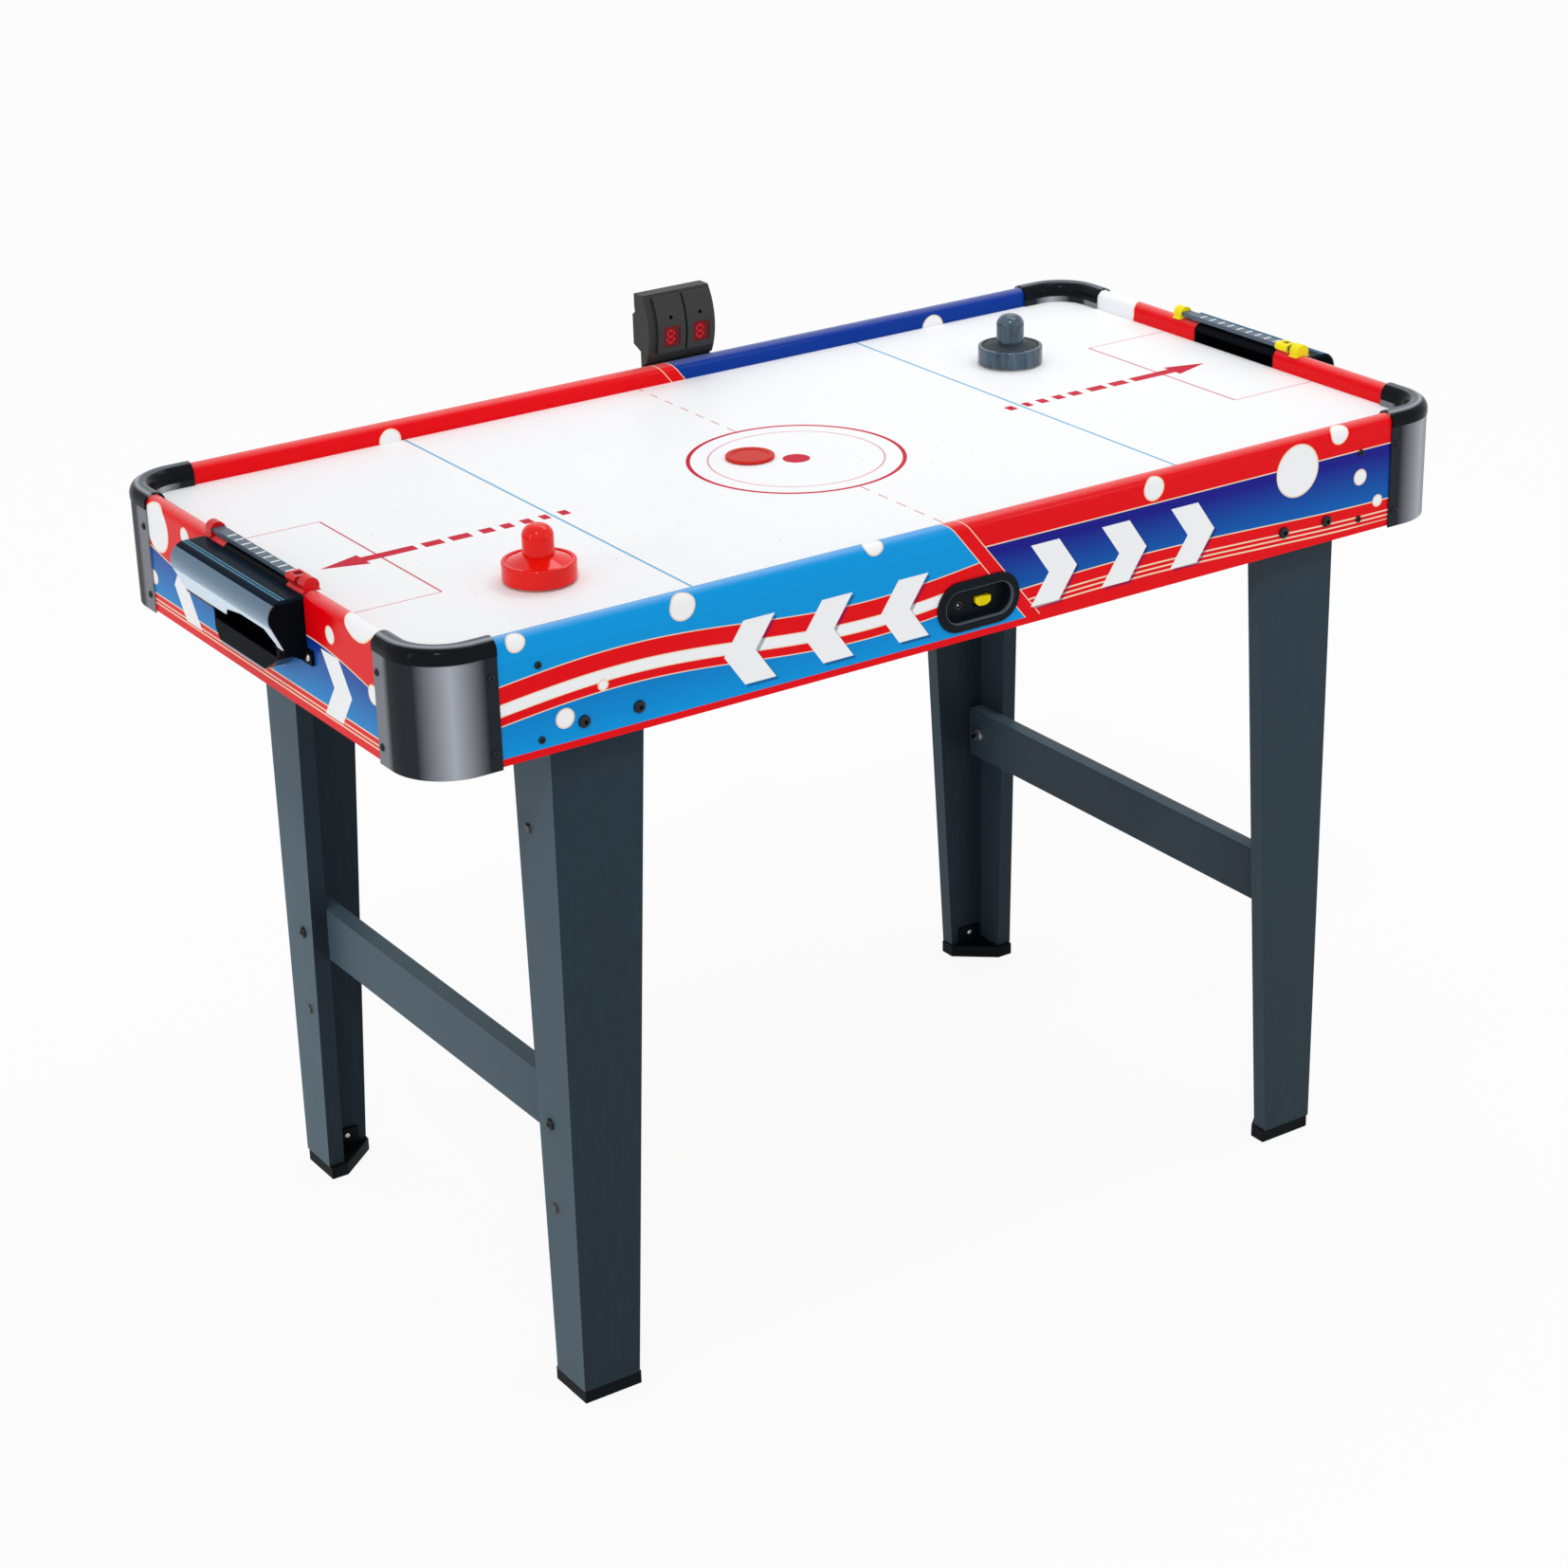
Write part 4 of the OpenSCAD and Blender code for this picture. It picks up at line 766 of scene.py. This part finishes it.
def carve(template, cutters):
    """Cuts upright bars, each (length, width, turn, depth, top), into a template."""
    shape = bmesh.new()
    for length, width, turn, depth, top in cutters:
        place = (Matrix.Translation((0, 0, top - depth / 2)) @ Matrix.Rotation(turn, 4, "Z")
                 @ Matrix.Diagonal((length, width, depth, 1)))
        bmesh.ops.create_cube(shape, size=1, matrix=place)
    cutter = linked("cutter", mesh_of(shape, "cutter"))
    cut = template.modifiers.new("carve", "BOOLEAN")
    cut.object = cutter
    cut.operation = "DIFFERENCE"
    cut.solver = "EXACT"
    cut.use_self = True
    name = template.name
    mesh = evaluated_mesh(template)
    bpy.data.objects.remove(cutter)
    return linked(name, mesh)


def node_tree(name, inputs):
    """An empty Geometry Nodes tree with these (name, socket type) inputs."""
    tree = bpy.data.node_groups.new(name, "GeometryNodeTree")
    tree.interface.new_socket("Geometry", in_out="INPUT", socket_type="NodeSocketGeometry")
    for label, kind in inputs:
        tree.interface.new_socket(label, in_out="INPUT", socket_type=kind)
    tree.interface.new_socket("Geometry", in_out="OUTPUT", socket_type="NodeSocketGeometry")
    return tree


def wire(tree, kind, links=(), **settings):
    """Adds a node; links are (input, socket) pairs and settings are its own properties."""
    node = tree.nodes.new(kind)
    for key, value in settings.items():
        setattr(node, key, value)
    for slot, source in links:
        socket = node.inputs[slot]
        if isinstance(source, bpy.types.NodeSocket):
            tree.links.new(source, socket)
        else:
            socket.default_value = source
    return node


def close_tree(tree, geometry, finish):
    """Ends a tree in Realize Instances and Set Material."""
    real = wire(tree, "GeometryNodeRealizeInstances", [(0, geometry)])
    painted = wire(tree, "GeometryNodeSetMaterial", [("Geometry", real.outputs[0]), ("Material", finish)])
    wire(tree, "NodeGroupOutput", [(0, painted.outputs[0])])


def fastener_tree():
    """Sets a head and a shank on every point, turned to the point's axis."""
    tree = node_tree("hockey_fasteners", (("Head", "NodeSocketObject"), ("Shank Radius", "NodeSocketFloat"),
                                          ("Finish", "NodeSocketMaterial")))
    given = tree.nodes.new("NodeGroupInput").outputs
    axis = wire(tree, "GeometryNodeInputNamedAttribute", [("Name", "axis")], data_type="FLOAT_VECTOR")
    reach = wire(tree, "GeometryNodeInputNamedAttribute", [("Name", "reach")], data_type="FLOAT")
    turn = wire(tree, "FunctionNodeAlignRotationToVector", [("Vector", axis.outputs[0])], axis="Z")
    head = wire(tree, "GeometryNodeObjectInfo", [("Object", given["Head"]), ("As Instance", True)])
    heads = wire(tree, "GeometryNodeInstanceOnPoints",
                 [("Points", given["Geometry"]), ("Instance", head.outputs["Geometry"]),
                  ("Rotation", turn.outputs[0])])
    rod = wire(tree, "GeometryNodeMeshCylinder",
               [("Vertices", 16), ("Radius", given["Shank Radius"]), ("Depth", 1.0)])
    down = wire(tree, "GeometryNodeTransform",
                [("Geometry", rod.outputs["Mesh"]), ("Translation", (0, 0, -0.5))])
    scale = wire(tree, "ShaderNodeCombineXYZ", [(0, 1.0), (1, 1.0), (2, reach.outputs[0])])
    rods = wire(tree, "GeometryNodeInstanceOnPoints",
                [("Points", given["Geometry"]), ("Instance", down.outputs[0]), ("Rotation", turn.outputs[0]),
                 ("Scale", scale.outputs[0])])
    joined = tree.nodes.new("GeometryNodeJoinGeometry")
    for part in (heads, rods):
        tree.links.new(part.outputs[0], joined.inputs[0])
    close_tree(tree, joined.outputs[0], given["Finish"])
    return tree


def mark_tree():
    """Lays a row of flat bars along Y, centred on each point."""
    tree = node_tree("hockey_marks", (("Count", "NodeSocketInt"), ("Pitch", "NodeSocketFloat"),
                                      ("Length", "NodeSocketFloat"), ("Width", "NodeSocketFloat"),
                                      ("Thickness", "NodeSocketFloat"), ("Finish", "NodeSocketMaterial")))
    given = tree.nodes.new("NodeGroupInput").outputs
    size = wire(tree, "ShaderNodeCombineXYZ",
                [(0, given["Length"]), (1, given["Width"]), (2, given["Thickness"])])
    bar = wire(tree, "GeometryNodeMeshCube", [("Size", size.outputs[0])])
    steps = wire(tree, "ShaderNodeMath", [(0, given["Count"]), (1, 1.0)], operation="SUBTRACT")
    span = wire(tree, "ShaderNodeMath", [(0, steps.outputs[0]), (1, given["Pitch"])], operation="MULTIPLY")
    back = wire(tree, "ShaderNodeMath", [(0, span.outputs[0]), (1, -0.5)], operation="MULTIPLY")
    start = wire(tree, "ShaderNodeCombineXYZ", [(1, back.outputs[0])])
    step = wire(tree, "ShaderNodeCombineXYZ", [(1, given["Pitch"])])
    places = [("Count", given["Count"]), ("Start Location", start.outputs[0]), ("Offset", step.outputs[0])]
    row = wire(tree, "GeometryNodeMeshLine", places)
    bars = wire(tree, "GeometryNodeInstanceOnPoints",
                [("Points", row.outputs[0]), ("Instance", bar.outputs["Mesh"])])
    placed = wire(tree, "GeometryNodeInstanceOnPoints",
                  [("Points", given["Geometry"]), ("Instance", bars.outputs[0])])
    close_tree(tree, placed.outputs[0], given["Finish"])
    return tree


def grow(name, points, tree, values, attributes=()):
    """Runs a tree on points and returns the plain mesh it makes."""
    mesh = bpy.data.meshes.new(name)
    mesh.from_pydata([tuple(p) for p in points], [], [])
    for label, kind, data in attributes:
        layer = mesh.attributes.new(label, kind, "POINT")
        for item, value in zip(layer.data, data):
            setattr(item, "vector" if kind == "FLOAT_VECTOR" else "value", value)
    draft = linked(name + "_draft", mesh)
    grower = draft.modifiers.new("grow", "NODES")
    grower.node_group = tree
    sockets = {item.name: item.identifier for item in tree.interface.items_tree if item.in_out == "INPUT"}
    for label, value in values.items():
        grower[sockets[label]] = value
    return evaluated_mesh(draft)


class HockeyOperator(bpy.types.Operator):
    """Shared settings of the table's operators"""

    bl_options = {"REGISTER", "UNDO"}

    @property
    def colours(self):
        return bpy.context.scene.hockey_colours

    @property
    def sizes(self):
        return bpy.context.scene.hockey_sizes


class HOCKEY_OT_boards(HockeyOperator):
    """Print the four boards"""

    bl_idname = "hockey.boards"
    bl_label = "Printed Boards"

    def execute(self, context):
        tint, sizes = self.colours, self.sizes
        dots = ((-455, 30, 8), (-415, 52, 4), (-330, 106, 12), (395, 84, 26), (480, 60, 7), (505, 30, 5))
        front = dots + ((-120, 118, 9), (-500, 112, 8), (210, 104, 11), (450, 112, 10))
        back = dots + ((-120, 104, 9), (210, 104, 11), (-390, 150, 13), (300, 146, 11))
        for name, side, left_top, places in (("front", -1, tint.sky, front), ("back", 1, tint.navy, back)):
            node = name + "_apron"
            dress([node], long_board_print(name + "_print", node, side, tint, sizes, left_top, places))
        for name, side in (("left", -1), ("right", 1)):
            node = name + "_apron"
            dress([node], end_board_print(name + "_print", node, side, tint, sizes))
        return {"FINISHED"}


class HOCKEY_OT_rink(HockeyOperator):
    """Finish the play board and the air chamber under it"""

    bl_idname = "hockey.rink"
    bl_label = "Rink and Air Chamber"

    def execute(self, context):
        dress(["play_board"], rink_finish(self.colours, self.sizes))
        dress(["chamber_floor"], timber_finish("hardboard", srgb(146, 104, 66), srgb(98, 66, 40), (1, 1, 1)))
        dress(["cross_ribs", "battens", "corner_blocks"],
              timber_finish("raw_timber", srgb(206, 172, 124), srgb(150, 112, 72), (0.1, 1, 1)))
        return {"FINISHED"}


class HOCKEY_OT_caps(HockeyOperator):
    """Finish the corner caps"""

    bl_idname = "hockey.caps"
    bl_label = "Corner Caps"

    def execute(self, context):
        dress(["corner_cap_" + corner for corner in CORNERS], cap_finish(self.colours))
        return {"FINISHED"}


class HOCKEY_OT_legs(HockeyOperator):
    """Round and finish the legs, stretchers and feet"""

    bl_idname = "hockey.legs"
    bl_label = "Legs, Stretchers and Feet"

    def execute(self, context):
        laminate = laminate_finish(self.colours)
        foot = moulded("foot_plastic", shade(self.colours.black, 0.9), 0.5, gloss=0.05)
        width = self.sizes.edge_round
        for name in ["leg_" + corner for corner in CORNERS] + ["stretcher_" + end for end in ENDS]:
            rounded_copy(name, laminate, width)
        for corner in CORNERS:
            rounded_copy("foot_" + corner, foot, width)
        return {"FINISHED"}


class HOCKEY_OT_fasteners(HockeyOperator):
    """Set screws, bolts, nuts and plugs"""

    bl_idname = "hockey.fasteners"
    bl_label = "Fasteners"

    def set_group(self, node, tree, head_of, head_h, shank_r, material, slot):
        """Stands heads with drive recesses and plain shanks in the place of a node's fasteners."""
        tops, ways, lengths, radii = zip(*fasteners(node))
        head = head_of(radii[0], head_h)
        seats = [top - way * head_h for top, way in zip(tops, ways)]
        reaches = [length - head_h for length in lengths]
        values = {"Head": head, "Shank Radius": shank_r, "Finish": material}
        mesh = grow(node + "_heads", seats, tree, values,
                    (("axis", "FLOAT_VECTOR", ways), ("reach", "FLOAT", reaches)))
        bpy.data.objects.remove(head)
        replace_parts(mesh_piece(node + "_set", mesh, material), node)

    def cross_head(self, radius, height):
        """A low head with a cross recess."""
        outline = [(0, 0), (radius, 0), (radius, height * 0.45), (radius * 0.86, height * 0.8),
                   (radius * 0.5, height), (0, height)]
        slot_l, slot_w, turn = radius * 1.05, radius * 0.24, 0.4
        cuts = [(slot_l, slot_w, angle, height * 0.8, height * 1.2) for angle in (turn, turn + math.pi / 2)]
        return carve(lathe("cross_head", outline, 24), cuts)

    def socket_head(self, radius, height):
        """A domed head with a hexagon recess."""
        steps = 6
        outline = [(0, 0), (radius, 0)]
        for k in range(steps):
            angle = math.pi / 2 * k / steps
            across = radius * (0.35 + 0.65 * math.cos(angle))
            outline.append((across, height * (0.25 + 0.75 * math.sin(angle))))
        outline.append((0, height))
        across = radius * 0.62
        side = across / math.sqrt(3)
        cuts = [(across, side, math.radians(turn), height * 0.9, height * 1.3) for turn in (0, 60, 120)]
        return carve(lathe("socket_head", outline, 32), cuts)

    def execute(self, context):
        tree = fastener_tree()
        black = metal("black_screw", srgb(46, 48, 52), 0.34, (1, 1, 1))
        steel = metal("zinc_steel", srgb(186, 188, 192), 0.3, (1, 1, 0.2))
        screw_h, screw_r = self.sizes.screw_head_h, 1.9 * MM
        bolt_h, bolt_r = self.sizes.bolt_head_h, 3 * MM
        self.set_group("corner_screws", tree, self.cross_head, screw_h, screw_r, black, "black_screw")
        self.set_group("panel_screws", tree, self.cross_head, screw_h, screw_r, steel, "steel")
        self.set_group("frame_bolts", tree, self.socket_head, bolt_h, bolt_r, black, "black_screw")
        dress(["frame_nuts", "motor_shaft", "motor_bridge"], steel)
        dress(["hole_plugs"], moulded("plug_plastic", self.colours.black, 0.3))
        return {"FINISHED"}


class HOCKEY_OT_goals(HockeyOperator):
    """Finish the goal frames and the puck return hoods"""

    bl_idname = "hockey.goals"
    bl_label = "Goals and Hoods"

    def execute(self, context):
        gloss = hood_finish(self.colours)
        frame_black = moulded("goal_plastic", self.colours.black, 0.3, gloss=0.02)
        silver = cover_finish(self.colours)
        for end in ENDS:
            rounded_copy("hood_body_" + end, gloss, self.sizes.edge_round)
            dress(["goal_frame_" + end], frame_black)
            dress(["hood_cover_" + end], silver)
        return {"FINISHED"}


class HOCKEY_OT_scorers(HockeyOperator):
    """Finish the slide scorers and lay their marks"""

    bl_idname = "hockey.scorers"
    bl_label = "Slide Scorers"

    def execute(self, context):
        bar = moulded("bar_plastic", srgb(80, 98, 114), 0.35, gloss=0.2)
        mark = moulded("score_mark", srgb(232, 236, 240), 0.4)
        tint = self.colours
        beads = {"left": moulded("red_bead", tint.bead_red, 0.2, depth=0.01 * MM, gloss=0.2),
                 "right": moulded("yellow_bead", tint.bead_yellow, 0.2, depth=0.01 * MM, gloss=0.2)}
        tree = mark_tree()
        thick, length_share = 0.4 * MM, 0.8
        for end in ENDS:
            low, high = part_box("score_bar_" + end)
            dress(["score_bar_" + end], bar)
            dress(["score_brackets_" + end, "score_slider_" + end], beads[end])
            centre = ((low.x + high.x) / 2, (low.y + high.y) / 2, high.z)
            values = {"Count": self.sizes.marks, "Pitch": self.sizes.mark_pitch, "Thickness": thick,
                      "Length": (high.x - low.x) * length_share, "Width": self.sizes.mark_w, "Finish": mark}
            mesh = grow("score_marks_" + end, [centre], tree, values)
            mesh_piece("score_marks_" + end, mesh, mark)
        return {"FINISHED"}


class HOCKEY_OT_score_unit(HockeyOperator):
    """Finish the electronic score unit"""

    bl_idname = "hockey.score_unit"
    bl_label = "Score Unit"

    def execute(self, context):
        grain, depth = 0.6 * MM, 0.05 * MM
        case = moulded("unit_plastic", srgb(44, 44, 45), 0.45, grain, depth, gloss=0.2)
        rounded_copy("score_unit_case", case, self.sizes.edge_round)
        dress(["score_unit_panels"], moulded("unit_panel", srgb(50, 50, 51), 0.4, grain, depth, gloss=0.2))
        window = moulded("unit_window", srgb(104, 10, 16), 0.12, depth=0.005 * MM, gloss=0.15)
        dress(["score_unit_windows"], window)
        dress(["score_unit_digits"], lit_finish())
        return {"FINISHED"}


class HOCKEY_OT_switch(HockeyOperator):
    """Finish the switch cup, the rocker and the power socket"""

    bl_idname = "hockey.switch"
    bl_label = "Power Switch"

    def execute(self, context):
        cup = cup_finish()
        rounded_copy("switch_cup", cup, self.sizes.edge_round * 0.6)
        dress(["cup_plate"], cup)
        dress(["switch_body"], moulded("switch_body", self.colours.black, 0.4))
        dress(["power_rocker"], moulded("rocker", self.colours.bead_yellow, 0.3, gloss=0.1))
        dress(["power_jack"], socket_finish(self.colours))
        return {"FINISHED"}


class HOCKEY_OT_blower(HockeyOperator):
    """Finish the blower"""

    bl_idname = "hockey.blower"
    bl_label = "Blower"

    def execute(self, context):
        dress(["blower_housing", "intake_grille"], moulded("blower_plastic", srgb(40, 43, 46), 0.45))
        dress(["blower_wheel"], moulded("wheel_plastic", srgb(58, 62, 66), 0.4))
        dress(["blower_motor"], metal("motor_can", srgb(178, 180, 184), 0.28, (1, 1, 0.1)))
        return {"FINISHED"}


class HOCKEY_OT_playing_pieces(HockeyOperator):
    """Finish the puck and the strikers"""

    bl_idname = "hockey.playing_pieces"
    bl_label = "Puck and Strikers"

    def execute(self, context):
        dress(["puck"], moulded("puck_plastic", self.colours.puck, 0.3, gloss=0.05))
        red = moulded("red_striker", srgb(238, 18, 6), 0.1, depth=0.001 * MM, gloss=0.25)
        dress(["striker_left"], red)
        dress(["striker_right"], dark_striker_finish())
        dress(["striker_left_felt", "striker_right_felt"], felt_finish())
        return {"FINISHED"}


class HOCKEY_OT_stage(HockeyOperator):
    """Set the floor, the lights, the world and the camera"""

    bl_idname = "hockey.stage"
    bl_label = "Stage"

    def seen_rays(self, tree):
        """A field of 1 for the rays that show the backdrop: straight, mirrored or through glass."""
        path = tree.nodes.new("ShaderNodeLightPath").outputs
        straight, mirrored, through = (Field(tree, path[f"Is {kind} Ray"])
                                       for kind in ("Camera", "Glossy", "Transmission"))
        return straight | mirrored | through

    def floor(self):
        """Pale floor, mostly a plain white where it is seen and for the rest lit, so that shadows stay."""
        bpy.ops.mesh.primitive_plane_add(size=60, location=(0, 0, 0))
        floor = bpy.context.object
        floor.name = "floor"
        finish = Finish("floor", roughness=0.9, specular_ior_level=0.1)
        speck = finish.noise(0.4, 3.0)
        finish.paint(srgb(246, 246, 247), (speck, srgb(250, 250, 251)))
        tree = finish.tree
        glow = tree.nodes.new("ShaderNodeEmission")
        glow.inputs["Color"].default_value = (1, 1, 1, 1)
        blend = tree.nodes.new("ShaderNodeMixShader")
        plain_share = 0.9
        share = self.seen_rays(tree) * plain_share
        for source, slot in ((share.socket, 0), (finish.shader.outputs[0], 1), (glow.outputs[0], 2)):
            tree.links.new(source, blend.inputs[slot])
        tree.links.new(blend.outputs[0], tree.nodes["Material Output"].inputs["Surface"])
        floor.data.materials.append(finish.material)

    def world(self):
        """Even white sky, soft for the light and a plain white as a backdrop."""
        world = bpy.data.worlds.new("studio")
        world.use_nodes = True
        bpy.context.scene.world = world
        tree = world.node_tree
        shader = tree.nodes["Background"]
        shader.inputs["Color"].default_value = (1, 1, 1, 1)
        light = 0.68
        level = self.seen_rays(tree) * (1 - light) + light
        tree.links.new(level.socket, shader.inputs["Strength"])

    def aimed(self, name, data, place, target):
        """Hangs a lamp at a place and turns it to a target."""
        lamp = linked(name, data)
        lamp.location = place
        lamp.rotation_euler = (Vector(target) - lamp.location).to_track_quat("-Z", "Y").to_euler()
        return lamp

    def sun(self, strength, spread, place):
        data = bpy.data.lights.new("sun", "SUN")
        data.energy = strength
        data.angle = math.radians(spread)
        self.aimed("sun", data, place, (0, 0, 0))

    def lamp(self, name, power, size, place, target):
        data = bpy.data.lights.new(name, "AREA")
        data.energy = power
        data.shape = "RECTANGLE"
        data.size, data.size_y = size
        self.aimed(name, data, place, target).visible_camera = False

    def camera(self):
        """Stands the camera where the straight edges in the photograph put it."""
        place = Vector((-1.8362, -2.7527, 1.8673))
        yaw, pitch, roll = 0.583, 0.41, -0.0256
        focal, frame_px, sensor = 3634.8, 1654, 36
        ahead = Vector((math.cos(pitch) * math.sin(yaw), math.cos(pitch) * math.cos(yaw), -math.sin(pitch)))
        level = Vector((math.cos(yaw), -math.sin(yaw), 0))
        upright = level.cross(ahead)
        right = level * math.cos(roll) + upright * math.sin(roll)
        up = upright * math.cos(roll) - level * math.sin(roll)
        data = bpy.data.cameras.new("camera")
        data.sensor_width = sensor
        data.lens = focal * sensor / frame_px
        camera = linked("camera", data)
        turn = Matrix((right, up, -ahead)).transposed().to_4x4()
        camera.matrix_world = Matrix.Translation(place) @ turn
        bpy.context.scene.camera = camera

    def execute(self, context):
        self.floor()
        self.world()
        self.sun(0.45, 5, (-1.7, -2.1, 3.4))
        self.lamp("left_strip", 8, (0.15, 2.2), (-3.4, -0.4, 1.6), (0, 0, 0.7))
        self.lamp("right_strip", 8, (0.15, 2.2), (2.4, -3.4, 1.6), (0, 0, 0.6))
        self.lamp("soft_box", 9.5, (1.7, 0.6), (0.85, 0.3, 2.5), (0, 0, 0.8))
        self.camera()
        context.scene.view_settings.view_transform = "Standard"
        return {"FINISHED"}


OPERATORS = (
    HOCKEY_OT_stage, HOCKEY_OT_boards, HOCKEY_OT_rink, HOCKEY_OT_caps, HOCKEY_OT_legs, HOCKEY_OT_fasteners,
    HOCKEY_OT_goals, HOCKEY_OT_scorers, HOCKEY_OT_score_unit, HOCKEY_OT_switch, HOCKEY_OT_blower,
    HOCKEY_OT_playing_pieces,
)


class HOCKEY_PT_panel(bpy.types.Panel):
    """Lists the table's operators and settings"""

    bl_idname = "HOCKEY_PT_panel"
    bl_label = "Hockey Table"
    bl_space_type = "VIEW_3D"
    bl_region_type = "UI"
    bl_category = "Hockey Table"

    def draw(self, context):
        layout = self.layout
        for operator in OPERATORS:
            layout.operator(operator.bl_idname)
        for group in (context.scene.hockey_colours, context.scene.hockey_sizes):
            box = layout.box()
            for name in group.__annotations__:
                box.prop(group, name)


CLASSES = (HockeyColours, HockeySizes, *OPERATORS, HOCKEY_PT_panel)


def register():
    for kind in CLASSES:
        bpy.utils.register_class(kind)
    bpy.types.Scene.hockey_colours = PointerProperty(type=HockeyColours)
    bpy.types.Scene.hockey_sizes = PointerProperty(type=HockeySizes)


def unregister():
    del bpy.types.Scene.hockey_sizes
    del bpy.types.Scene.hockey_colours
    for kind in reversed(CLASSES):
        bpy.utils.unregister_class(kind)


def main():
    """Dresses the table."""
    register()
    for operator in OPERATORS:
        group, name = operator.bl_idname.split(".")
        getattr(getattr(bpy.ops, group), name)()


if __name__ == "__main__":
    main()
